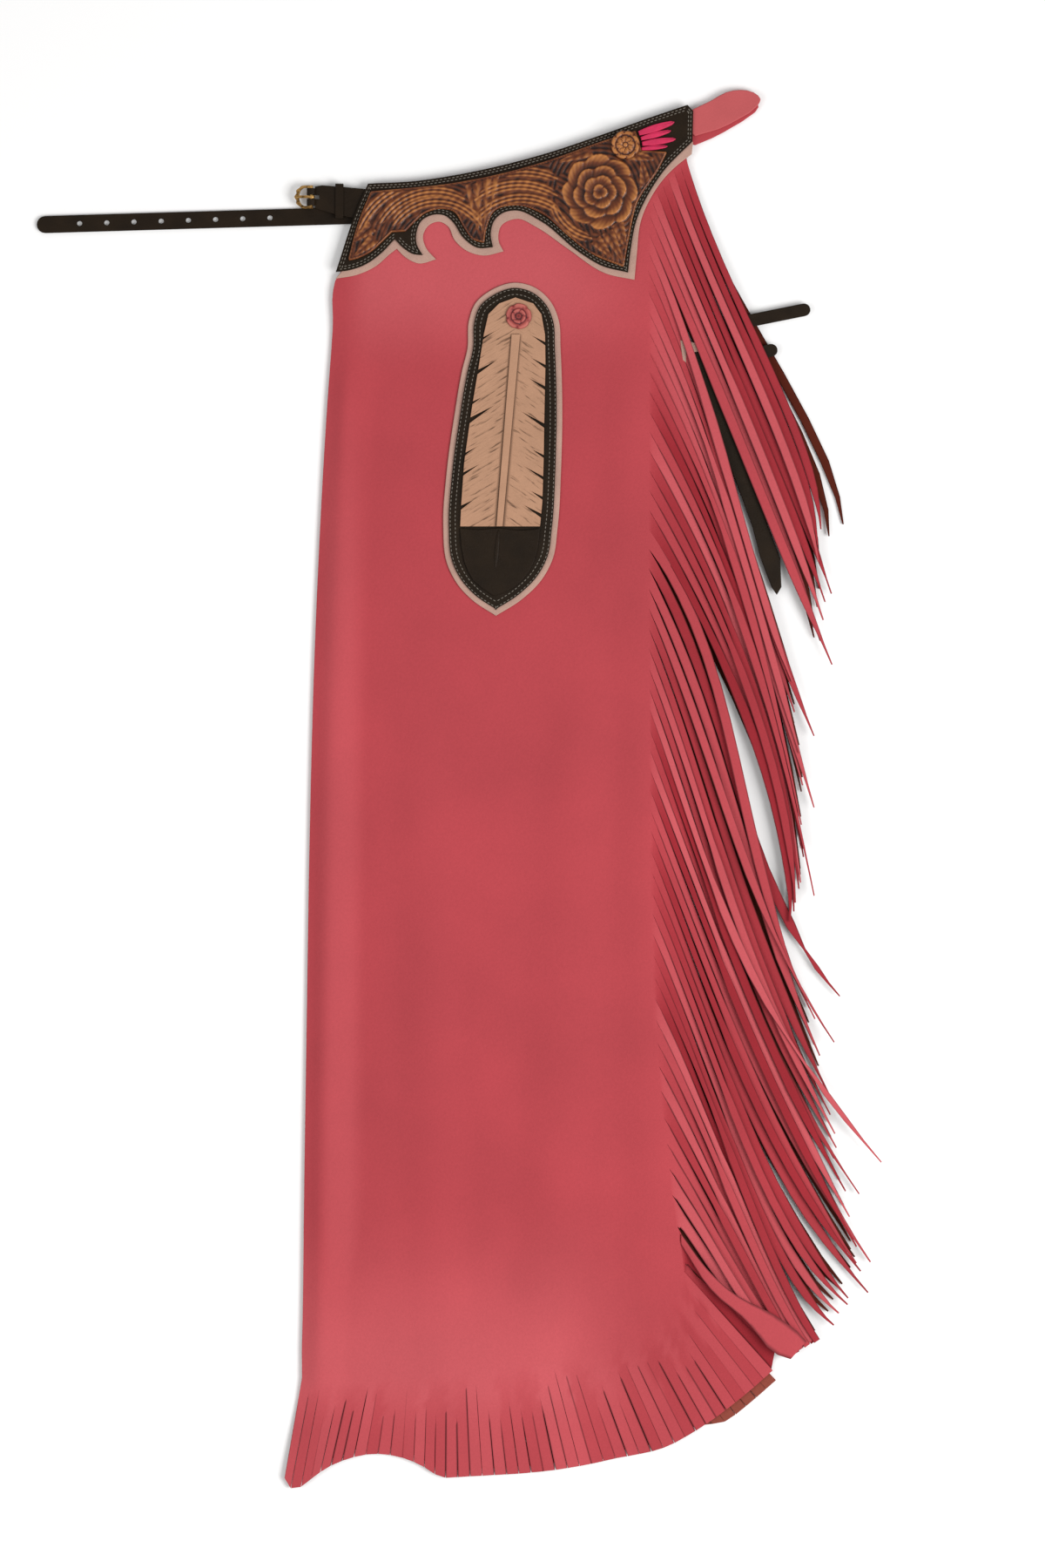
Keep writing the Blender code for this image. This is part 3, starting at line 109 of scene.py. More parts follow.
INNER_EDGE = (
    (-58, 445), (-70, 414), (-86, 390), (-92.3, 380), (-93.9, 348), (-98.2, 288),
    (-101.8, 229), (-107.9, 96), (-110.5, 5), (-113.8, -190), (-115.7, -320), (-116.4, -385),
    (-117.7, -438),
)
WING_EDGE = (
    (170, 470), (160, 462), (150.5, 452.5), (143.5, 440), (141.7, 420), (141.7, 330),
    (141.7, 70), (143, -27), (145, -125), (148.8, -206), (154.1, -255), (159.6, -307),
    (168.5, -352),
)
HEM_CUT = (
    (-117, -437.5), (-98, -440.6), (-57, -439.4), (-18, -435.5), (13, -431.5), (50, -427),
    (86.5, -421.5), (115, -416), (130, -410.5), (147.5, -399), (161.8, -377), (167.7, -358),
)
HEM_LINE = (
    (-130, -512), (-123.5, -521.5), (-113, -515), (-101, -506), (-84, -498.2), (-61.3, -494),
    (-43.6, -496.6), (-30.2, -501.5), (-13.7, -512.2, "corner"), (13, -510.6), (60.5, -507.5),
    (98.1, -501.7), (118, -497.2), (150.8, -490.4), (180, -474.8), (213, -450.3), (234, -432),
)
WAIST = ((-58.0, 445.0), (-6.0, 452.0), (24.0, 457.5), (66.5, 468.0), (105.0, 479.0), (135.0, 488.0))
FRONT_CORNER = (168.0, 490.0)
LEG_LEATHER, FRINGE_LEATHER, SEAM_GAP = 2.0, 1.5, 0.3
UPPER_LEG_LEVEL = LEG_LEATHER + SEAM_GAP
FOLDS = (                          # crest x at y_top and at y_bottom, half_width, height, y_bottom, y_top
    (-83, -105.5, 23, 5.2, -470, 345),
    (138, 148, 34, 3.4, -400, 345),
    (92, 60, 34, 2.6, -470, 95),
    (-30, -12, 30, 2, -470, 95),
    (126, 112, 24, 1.6, 120, 345),
)
FADE = 60.0
CURL_WIDTH, CURL_OUTSIDE, CURL_FLOOR = 15.0, 6.0, 0.4
CURL_FADE_FROM, CURL_FADE_TO = 330.0, 372.0


def smooth(rows, steps=3, closed=False):
    """Points along a smooth curve through the rows; its direction breaks at each row marked as a corner."""
    places = [Vector(row[:2]) for row in rows]
    sharp = [len(row) > 2 for row in rows]
    count = len(places)

    def leave(i, forward):
        before, here, after = places[i - 1], places[i], places[(i + 1) % count]
        if sharp[i] or (not closed and i in (0, count - 1)):
            return (after - here if forward else here - before).normalized()
        back, ahead = here - before, after - here
        turn = back.normalized() * ahead.length + ahead.normalized() * back.length
        return turn / (back.length + ahead.length)

    points = []
    for i in range(count if closed else count - 1):
        a, b = places[i], places[(i + 1) % count]
        span = (b - a).length
        start, end = leave(i, True) * span, leave((i + 1) % count, False) * span
        for k in range(steps):
            t = k / steps
            from_a = a * (1 + 2 * t) * (1 - t) ** 2 + start * t * (1 - t) ** 2
            points.append(from_a + b * t * t * (3 - 2 * t) + end * t * t * (t - 1))
    if not closed:
        points.append(places[-1])
    return points


def lengths(points):
    """How far along the line each of its points lies."""
    found = [0.0]
    for a, b in zip(points, points[1:]):
        found.append(found[-1] + (b - a).length)
    return found


def shares_along(points):
    marks = lengths(points)
    return [mark / marks[-1] for mark in marks]


def reached(points, marks, wanted):
    """The point of the line where its running marks reach this value."""
    i = next((i for i in range(1, len(points)) if marks[i] >= wanted), len(points) - 1)
    return points[i - 1].lerp(points[i], (wanted - marks[i - 1]) / (marks[i] - marks[i - 1]))


def at_share(points, share):
    """The point at this share of the line's length."""
    marks = lengths(points)
    return reached(points, marks, min(max(share, 0.0), 1.0) * marks[-1])


def beside(points, distance):
    """The line moved sideways, to its left if distance is positive."""
    moved = []
    for i, here in enumerate(points):
        way = (points[min(i + 1, len(points) - 1)] - points[max(i - 1, 0)]).normalized()
        moved.append(here + Vector((-way.y, way.x)) * distance)
    return moved


def step_up(value, low, high):
    """0 below low, 1 above high, and smooth between."""
    t = min(max((value - low) / (high - low), 0.0), 1.0)
    return t * t * (3 - 2 * t)


def mix(a, b, share):
    return a + (b - a) * share


def across(rows, y):
    """The x of an edge at this height, for rows that run downwards."""
    for (x0, y0, *_), (x1, y1, *_) in zip(rows, rows[1:]):
        if y >= y1:
            return mix(x0, x1, (y0 - y) / (y0 - y1))
    return rows[-1][0]


def upper_height(x, y):
    """Height of the underside of the upper legging, with its folds and its rolled inner edge."""
    rise = 0.0
    for x_top, x_bottom, half_width, height, y_bottom, y_top in FOLDS:
        crest = mix(x_bottom, x_top, (y - y_bottom) / (y_top - y_bottom))
        reach = step_up(y, y_bottom, y_bottom + FADE) * (1 - step_up(y, y_top - FADE, y_top))
        away = min(abs(x - crest) / half_width, 1.0)
        rise += height * reach * math.cos(math.pi / 2 * away) ** 2
    inside = x - across(INNER_EDGE, y)
    curl = 1 - step_up(inside, -CURL_OUTSIDE, CURL_WIDTH)
    curl *= 1 - step_up(y, CURL_FADE_FROM, CURL_FADE_TO)
    return mix(UPPER_LEG_LEVEL + rise, CURL_FLOOR, curl)


# Wing fringe. Its strands fall in five locks; guide strands give the way they leave the edge, the point half
# way down and the tip, and a few tips stray from their lock.
LAY_ANGLE = 24.0
WING_LOCKS = (                     # strands, rise over the straps under the lock, width of the tips
    (8, 1.6, 1),
    (15, 1.6, 1),
    (12, 0, 1),
    (9, 0, 1.2),
    (12, 0, 5),
)
WING_GUIDES = (                    # lock, share of it, degrees from straight down, half-way x, y, tip x, y
    (0, 0.00, 16, 226.5, 324, 266, 200),
    (0, 0.50, 20, 215.5, 294.5, 272, 150),
    (0, 1.00, 23, 206, 267, 270, 101),
    (1, 0.00, 24, 199, 240, 247, 79),
    (1, 0.30, 26, 205, 187, 255, 4),
    (1, 0.60, 29, 212, 130, 255, -58),
    (1, 1.00, 31, 216.5, 49, 248, -96),
    (2, 0.00, 36, 208, 15, 264, -166),
    (2, 0.22, 25, 203.5, -17, 271, -204),
    (2, 0.45, 22, 199, -55, 277, -238),
    (2, 0.75, 20, 199, -102, 285, -286),
    (2, 1.00, 21, 206, -142.5, 290, -318),
    (3, 0.00, 21, 207.5, -158.5, 297, -338),
    (3, 0.40, 22, 208, -205.3, 298, -362),
    (3, 0.75, 24, 208.5, -249, 288, -384.2),
    (3, 1.00, 24, 209, -277, 279, -400),
    (4, 0.00, 25, 208, -284, 267, -409),
    (4, 0.34, 29, 203.5, -310, 258, -413),
    (4, 0.60, 29, 200.5, -331, 250, -419),
    (4, 1.00, 40, 194, -372, 236, -416),
)
UPPER_STRAYS = (                   # strands whose tips stand out: number, level, tip x, tip y
    (0, 0, 269.8, 195), (3, 0, 277.6, 147), (7, 1, 278, 94), (10, 1, 264.6, 41),
    (13, 1, 264.6, -12.3), (17, 2, 264.6, -78), (24, 0, 284, -153), (26, 3, 279.5, -187),
    (31, 3, 314.6, -276.3), (33, 0, 298.4, -300.3), (36, 0, 306.8, -351), (39, 0, 305, -373.8),
)
LOWER_STRAYS = ((0, 0, 286.7, 198.9), (1, 1, 276.0, 190.0))
LOWER_SHIFTS = (                   # how the lower locks lie: half-way dx, half-way dy, tip dx, tip dy
    (3, 3, -4, 10),
    (-2, 3, 0, 6),
    (-4, 3, -4, 8),
    (-4, 3, -4, 10),
    (-6, 6, -3, 6),
)
STRAY_BEND = 0.06                  # how far a stray strand's half-way point follows its tip
LEVEL_STEP = FRINGE_LEATHER + SEAM_GAP
LOWER_LEVEL, LOWER_LEVELS = 0.4, 2
UPPER_LEVEL, UPPER_LEVELS = LOWER_LEVEL + LOWER_LEVELS * LEVEL_STEP + SEAM_GAP, 3
TIP_SEED, TIP_JITTER = 4, (2.0, 4.0)
WING_COUNT = sum(lock[0] for lock in WING_LOCKS)
FINE_STEPS = 400
ROOM_SHARE = 0.95                  # of the space between strands at the same level, the most that one fills
SLIT, OPENING = 0.96, 0.90         # shares of the space beside it that a strand fills, root and middle
TONE_WIDENS, LEAST_FREE, TAPER = 0.05, 2.0, 1.8
SWAY, TWIST, CUP = 0.7, 0.35, 0.2  # how much a strand wavers, tips sideways and rounds up
# Strand tones vary at random; their darker end is painted shade, for strands lying in shadow.
STRAND_TONES_AND_SHADE, PHASES, WAVES = (-1.7, 1.1), (0.0, 6.3), 5
SPREADS, COMES_FREE, TURNS = (0.0, 0.3), (0.25, 0.5), (0.0, 0.12)      # spans of a strand's length
TAPERS, SWAYS, TIPS_OVER, ROUNDS_UP = (0.76, 1.0), (0.1, 0.6), (0.1, 0.5), (0.03, 0.3)
SETTLES = 12                       # points of a strip by which it has its own tone and thickness
STRAND_WALL, HEM_WALL = 0.65, 0.8  # shares of the legging's thickness
UPPER_ROWS = (0.015, 0.04, 0.08, 0.13, 0.19, 0.26, 0.33, 0.40, 0.47, 0.54, 0.61, 0.68, 0.75, 0.81, 0.87, 0.92,
              0.96, 1.0)
LOWER_ROWS = (0.03, 0.1, 0.2, 0.32, 0.44, 0.56, 0.68, 0.8, 0.91, 1.0)


def downwards(degrees):
    """The direction this far round from straight down."""
    return Vector((math.sin(math.radians(degrees)), -math.cos(math.radians(degrees))))


def wing_stations(line, count):
    """Stations spaced so that all strands, cut at the lay angle, come out equally wide."""
    lay = downwards(LAY_ANGLE)
    fine = [at_share(line, k / FINE_STEPS) for k in range(FINE_STEPS + 1)]
    marks = [0.0]
    for a, b in zip(fine, fine[1:]):
        marks.append(marks[-1] + abs((b - a).cross(lay)))
    return [reached(fine, marks, marks[-1] * k / count) for k in range(count + 1)]


def guided(lock, share, shift):
    """Leaving direction, half-way point and tip of a strand, between its lock's guides."""
    rows = [row for row in WING_GUIDES if row[0] == lock]
    near, far = next(pair for pair in zip(rows, rows[1:]) if share <= pair[1][1])
    part = (share - near[1]) / (far[1] - near[1])
    angle, x, y, tip_x, tip_y = (mix(a, b, part) for a, b in zip(near[2:], far[2:]))
    half_way, tip = Vector((x + shift[0], y + shift[1])), Vector((tip_x + shift[2], tip_y + shift[3]))
    return downwards(angle), half_way, tip


def bent(root, first, second, tip, t):
    """Point and direction at share t of the cubic curve from root to tip."""
    near, middle, far = root.lerp(first, t), first.lerp(second, t), second.lerp(tip, t)
    near, far = near.lerp(middle, t), middle.lerp(far, t)
    return near.lerp(far, t), (far - near).normalized()


# Paler leather near the waist and the hem, and a painted highlight along the lit flank of the fold's ridge.
PALER_WAIST, PALER_SIDE, PALER_HEM, FRINGE_LESS_PALE = (305.0, 375.0), (-90.0, -65.0), (300.0, 435.0), (435.0, 480.0)
HIGHLIGHT_WIDTH, HIGHLIGHT_AT, HIGHLIGHT_ENDS, PALER_FADES_ACROSS = (5.0, 21.0), -88.0, (140.0, 340.0), (60.0, 165.0)


def paler_and_highlit(x, y):
    """How much paler the leather is made: near the waist and the hem, and along the ridge beside the fold,
    where the paleness is a painted highlight.
    """
    waist = step_up(y, *PALER_WAIST) * step_up(x, *PALER_SIDE)
    hem = step_up(-y, *PALER_HEM) * (1 - 0.6 * step_up(-y, *FRINGE_LESS_PALE))
    ridge = (1 - step_up(abs(x - HIGHLIGHT_AT), *HIGHLIGHT_WIDTH)) * (1 - step_up(y, *HIGHLIGHT_ENDS))
    return max(0.95 * max(waist, hem) * (1 - step_up(x, *PALER_FADES_ACROSS)), 0.5 * ridge)


def grid_of(bm, columns, rows):
    """A new grid of points, from the top left, row by row."""
    made = bmesh.ops.create_grid(bm, x_segments=columns - 1, y_segments=rows - 1, size=1.0)["verts"]
    return sorted(made, key=lambda v: (-round(v.co.y, 5), round(v.co.x, 5)))


def strip(bm, rows, cuts, tone, wall):
    """A strip of leather through rows of (first, middle, last) points; the third argument is how dark its two
    edges are, partly the raw cut and partly painted shade between strands.
    """
    made = grid_of(bm, 3, len(rows))
    layers = bm.verts.layers
    tones, raw_and_shaded, walls = layers.float["tone"], layers.float["cut"], layers.deform.active
    for number, (v, place) in enumerate(zip(made, (point for row in rows for point in row))):
        own = min(number / SETTLES, 1.0)
        v.co = place
        v[tones] = tone * own + paler_and_highlit(place.x, place.y)
        v[raw_and_shaded] = (cuts[number // 3][0], 0.0, cuts[number // 3][1])[number % 3]
        v[walls][0] = mix(1.0, wall, own)


def wing_strands(bm, roots, rows, width, least_width, level, levels, level_by, rising, shifts, strays,
                 height):
    """Adds the strands, each from three points of the panel's edge past its half-way point to its tip."""
    chance, own_way = random.Random(TIP_SEED), random.Random(TIP_SEED)
    astray = {stray[0]: stray[1:] for stray in strays}
    paths, lies = [], []
    for lock, (count, rise, tip_width) in enumerate(WING_LOCKS):
        for k in range(count):
            index = len(paths)
            start, middle, end = roots[2 * index: 2 * index + 3]
            root = start.lerp(end, 0.5)
            leaving, half_way, tip = guided(lock, k / (count - 1), shifts[lock])
            tip += Vector([chance.uniform(-reach, reach) for reach in TIP_JITTER]) / max(tip_width, 1.0)
            storey = index % levels
            if index in astray:
                storey, *place = astray[index]
                half_way += (Vector(place) - tip) * STRAY_BEND
                tip = Vector(place)
            first = root + leaving * (tip - root).length / 3
            second = (half_way * 8 - root - first * 3 - tip) / 3
            paths.append([bent(root, first, second, tip, t) for t in rows])
            pitch = abs((end - start).cross(leaving))
            low = level + storey * LEVEL_STEP + rise * rising
            lies.append(((start, middle, end), pitch, tip_width, low))
    for index, (edge, pitch, tip_width, low) in enumerate(lies):
        # Each strand's own tone; the darker ones are painted shade.
        tone, twist, phase = (own_way.uniform(*span) for span in (STRAND_TONES_AND_SHADE, (-TWIST, TWIST), PHASES))
        root_level = height(*edge[1])
        lines = [[Vector((*p, height(*p))) for p in edge]]
        for k, t in enumerate(rows):
            here, way = paths[index][k]
            near = [index + step for step in (-1, 1) if 0 <= index + step < len(paths)]
            far = [index + step for step in (-levels, levels) if 0 <= index + step < len(paths)]
            gaps = [abs((paths[other][k][0] - here).cross(paths[other][k][1])) for other in near + far]
            beside_it, room = sum(gaps[:len(near)]) / len(near), min(gaps[len(near):])
            packed = mix(pitch * SLIT, beside_it * (OPENING + TONE_WIDENS * tone), step_up(t, *SPREADS))
            wide = min(max(packed, least_width * step_up(t, *COMES_FREE)), width)
            if t > COMES_FREE[0]:
                wide = min(wide, max(room * ROOM_SHARE, LEAST_FREE))
            wide = mix(wide, tip_width, step_up(t, *TAPERS) ** TAPER)
            side = Vector((-way.y, way.x))
            breadth = ((edge[0] - edge[2]) * SLIT).lerp(side * wide, step_up(t, *TURNS))
            here = here + side * SWAY * math.sin(phase + WAVES * t) * step_up(t, *SWAYS) * (1 - t)
            z = mix(root_level, low, step_up(t, 0.0, level_by))
            lean, crown = twist * step_up(t, *TIPS_OVER), CUP * step_up(t, *ROUNDS_UP)
            lines.append([Vector((*(here + breadth * s), z + lean * 2 * s + crown * (1 - 4 * s * s)))
                          for s in (0.5, 0.0, -0.5)])
        # Edges darken just past the root: partly the raw cut, partly painted shade between strands.
        strip(bm, lines, [(step_up(t, 0.0, 0.05),) * 2 for t in (0.0, *rows)], tone, STRAND_WALL)


def cut_sheet(bm, waist, hem, inner, outer, height):
    """A sheet blended from its four edges, one row for each point of inner and outer."""
    made = grid_of(bm, len(waist), len(inner))
    down, over = shares_along(inner), shares_along(waist)
    tones, walls = bm.verts.layers.float["tone"], bm.verts.layers.deform.active
    for row in range(len(inner)):
        for column in range(len(waist)):
            ruled = waist[column].lerp(hem[column], down[row]) + inner[row].lerp(outer[row], over[column])
            top, bottom = waist[0].lerp(waist[-1], over[column]), hem[0].lerp(hem[-1], over[column])
            place = ruled - top.lerp(bottom, down[row])
            v = made[row * len(waist) + column]
            v.co = (place.x, place.y, height(place.x, place.y))
            v[tones], v[walls][0] = paler_and_highlit(place.x, place.y), 1.0


def with_halves(points):
    """The points and the middles between them."""
    found = []
    for a, b in zip(points, points[1:]):
        found += [a, a.lerp(b, 0.5)]
    return found + [points[-1]]


HEM_ROWS = (0.06, 0.12, 0.18, 0.24, 0.3, 0.38, 0.5, 0.65, 0.8, 0.92, 1.0)
# How dark a slit's sides become is partly the raw cut and partly painted shade in the slit.
SLIT_WIDTHS, SLITS_BEGIN, SLIT_DARKNESS = (0.02, 0.34), (0.0, 0.46), (0.78, 1.0)
LEAST_SLIT, SLIT_OPENS, SLIT_DARKENS = 0.04, 0.3, 0.12
HEM_TWISTS, HEM_TONES = (-0.5, 0.5), (-0.4, 0.3)
DARK_END = (0.7, 0.8)              # from here the last strands are lifted out of the painted shade toward the leather's own tone
UPPER_TIP_LEVEL = LOWER_LEVEL + FRINGE_LEATHER + 2 * SEAM_GAP


def hem_strands(bm, roots, tips, height, tip_level, last_tone, chance):
    """Strands cut straight up from the hem line; each slit has its own height and width, and its own
    darkness, partly the raw cut and partly painted shade in the slit.
    """
    count = len(roots) // 2
    slits = [[chance.uniform(*reach) for reach in (SLITS_BEGIN, SLIT_WIDTHS, SLIT_DARKNESS)]
             for k in range(count + 1)]
    for k in range(count):
        start, middle, end = roots[2 * k: 2 * k + 3]
        rows, cuts = [[Vector((*p, height(*p))) for p in (start, middle, end)]], [(0.0, 0.0)]
        twist = chance.uniform(*HEM_TWISTS)
        for t in HEM_ROWS:
            first, last = start.lerp(tips[k], t), end.lerp(tips[k + 1], t)
            way = (last - first).normalized()
            opened = [wide * step_up(t, begin, begin + SLIT_OPENS) for begin, wide, dark in slits[k:k + 2]]
            opened = [wide if wide > LEAST_SLIT else 0.0 for wide in opened]
            first += way * opened[0] * (k > 0)
            last -= way * opened[1] * (k < count - 1)
            cuts.append([dark * step_up(t, begin, begin + SLIT_DARKENS)
                         for begin, wide, dark in slits[k:k + 2]])
            lean, sunk = twist * step_up(t, 0.4, 1.0), step_up(t, 0.0, 1.0)
            rows.append([Vector((*p, max(mix(height(*p), tip_level, sunk) + lean * side, 0.0)))
                         for p, side in ((first, 1), (first.lerp(last, 0.5), 0), (last, -1))])
        tone = chance.uniform(*HEM_TONES) + last_tone * step_up((k + 1) / count, *DARK_END)
        strip(bm, rows, cuts, tone, HEM_WALL)


def place_piece(name, bm, materials, body="garment", smooth_faces=True):
    """Makes the named piece from a bmesh in millimetres, and has it ride on its body."""
    bmesh.ops.scale(bm, vec=(MM, MM, MM), verts=bm.verts)
    mesh = bpy.data.meshes.new(name)
    bm.to_mesh(mesh)
    bm.free()
    for material in materials:
        mesh.materials.append(material)
    if smooth_faces:
        mesh.shade_smooth()
    piece = add_object(name, mesh)
    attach(piece, body)
    return piece


def add_node(tree, kind, inputs=None, **settings):
    """A shader node with these settings; inputs gives its sockets a value or a link by name or number."""
    node = tree.nodes.new(kind)
    for key, value in settings.items():
        setattr(node, key, value)
    for key, value in (inputs or {}).items():
        if isinstance(value, bpy.types.NodeSocket):
            tree.links.new(value, node.inputs[key])
        else:
            node.inputs[key].default_value = value
    return node


def sum_up(tree, operation, *values):
    """The result of a Math node."""
    return add_node(tree, "ShaderNodeMath", dict(enumerate(values)), operation=operation).outputs[0]


def eased(tree, value, low, high, start=0.0, end=1.0, blend="SMOOTHSTEP"):
    """From start, where the value is low, to end, where it is high."""
    spans = {"Value": value, "From Min": low, "From Max": high, "To Min": start, "To Max": end}
    return add_node(tree, "ShaderNodeMapRange", spans, interpolation_type=blend).outputs[0]


def mottled(tree, where, scale, detail, roughness=0.5):
    """Noise at this scale."""
    values = {"Vector": where, "Scale": scale, "Detail": detail, "Roughness": roughness}
    return add_node(tree, "ShaderNodeTexNoise", values).outputs[0]


def own_place(tree):
    """Where a point lies on its object."""
    return add_node(tree, "ShaderNodeTexCoord").outputs["Object"]


def stored(tree, name):
    """A value that the mesh keeps for each point."""
    return add_node(tree, "ShaderNodeAttribute", attribute_name=name).outputs["Fac"]


def new_group(name, inputs, outputs):
    """A shader node group with these sockets, and its input and output nodes."""
    group = bpy.data.node_groups.new(name, "ShaderNodeTree")
    for direction, sockets in (("INPUT", inputs), ("OUTPUT", outputs)):
        for label, kind in sockets:
            group.interface.new_socket(label, in_out=direction, socket_type=kind)
    return group, group.nodes.new("NodeGroupInput"), group.nodes.new("NodeGroupOutput")


# Leather: broad soft patches, a tone for each strand with the darker strands as painted shade, paler near the
# waist and the hem with a painted highlight along the fold's ridge, raw cut edges darkened partly as painted
# shade between strands, a fine grain
TONE_STEP, TONE_FADES, GRAIN_SHADE, GRAIN_DEPTH = 0.22, -0.05, 0.24, 0.0006
# Edges darkened by the stored cut value: partly raw cut leather, partly painted shade between the strands and
# in the slits.
RAW_AND_SHADED_FROM, RAW_AND_SHADED_VALUE = (0.7, 1.0), 0.38
HIDE, hide_in, hide_out = new_group(
    "leather_surface",
    (("Colour", "NodeSocketColor"), ("Patches", "NodeSocketFloat"), ("Patch Scale", "NodeSocketFloat"),
     ("Grain Scale", "NodeSocketFloat"), ("Grain Depth", "NodeSocketFloat")),
    (("Colour", "NodeSocketColor"), ("Normal", "NodeSocketVector")))
where = own_place(HIDE)
patches = mottled(HIDE, where, hide_in.outputs["Patch Scale"], 4.0)
own_tone_and_light = stored(HIDE, "tone")
swing = sum_up(HIDE, "MULTIPLY", sum_up(HIDE, "SUBTRACT", patches, 0.5), 4.0)
value = sum_up(HIDE, "MULTIPLY_ADD", swing, hide_in.outputs["Patches"], 1.0)
# The stored tone carries painted light: a painted highlight along the fold's ridge and painted shade on the
# darker strands.
value = sum_up(HIDE, "MULTIPLY_ADD", own_tone_and_light, TONE_STEP, value)
grain = mottled(HIDE, where, hide_in.outputs["Grain Scale"], 5.0, 0.7)
grained = sum_up(HIDE, "MULTIPLY_ADD", grain, GRAIN_SHADE, 1 - GRAIN_SHADE / 2)
value = sum_up(HIDE, "MULTIPLY", value, grained)
# Darker edges: partly the raw cut, partly painted shade between strands.
value = sum_up(HIDE, "MULTIPLY", value, eased(HIDE, stored(HIDE, "cut"), *RAW_AND_SHADED_FROM, 1.0, RAW_AND_SHADED_VALUE))
paler = sum_up(HIDE, "MULTIPLY_ADD", sum_up(HIDE, "MINIMUM", own_tone_and_light, 1.0), TONE_FADES, 1.0)
tinted = add_node(HIDE, "ShaderNodeHueSaturation", {
    "Color": hide_in.outputs["Colour"], "Saturation": paler, "Value": value})
bumped = add_node(HIDE, "ShaderNodeBump", {
    "Height": grain, "Strength": hide_in.outputs["Grain Depth"], "Distance": GRAIN_DEPTH})
HIDE.links.new(tinted.outputs[0], hide_out.inputs["Colour"])
HIDE.links.new(bumped.outputs[0], hide_out.inputs["Normal"])


def leather(name, colour, roughness, shine, patches, patch_scale, grain_scale, grain_depth):
    """Leather of this colour; the last four are the group's own values."""
    made, tree, shader = new_material(name, {"Roughness": roughness, "Specular IOR Level": shine})
    surface = add_node(tree, "ShaderNodeGroup", {}, node_tree=HIDE)
    settings = ((*colour, 1.0), patches, patch_scale, grain_scale, grain_depth)
    for socket, setting in zip(surface.inputs, settings):
        socket.default_value = setting
    tree.links.new(surface.outputs["Colour"], shader.inputs["Base Color"])
    tree.links.new(surface.outputs["Normal"], shader.inputs["Normal"])
    return made


PINK = leather("pink_leather", (0.370, 0.044, 0.054), 0.8, 0.2, 0.10, 9.0, 520.0, 0.45)
# The flesh side's colour is darkened well below its own, as painted shade where it lies under the upper
# legging's strands.
SHADED_FLESH = leather("flesh_side", (0.090, 0.018, 0.011), 0.9, 0.1, 0.15, 20.0, 400.0, 0.6)

SHARP_CUT = math.radians(50.0)
TURNED_ROWS, TURNED_CROWN, TURNED_CLIMB = 12, 0.8, 0.25
WELD = 0.02
TURNED_OVER = (                    # right edge, left edge, level at the root and beyond, tone
    (((165.8, -330.2), (185.9, -357), (206.1, -375), (234.7, -389.7), (256.7, -406.9), (258.7, -409.5)),
     ((165.8, -338), (190.5, -374.4), (212.6, -392.7), (222.3, -404), (234.7, -418.4), (247, -422.8)),
     4.6, 9.7, 0.3),
    # The second lies low under the first, and its darker tone is painted shade.
    (((168, -346), (199, -376), (220, -396), (237, -411)),
     ((168, -362), (196, -390), (216, -412), (233, -431.6)),
     1.2, 1.2, -1.6),
)

waist_line, inner_edge, wing_line = smooth(WAIST + (FRONT_CORNER,)), smooth(INNER_EDGE), smooth(WING_EDGE)
hem_cut, hem_line = smooth(HEM_CUT), smooth(HEM_LINE)


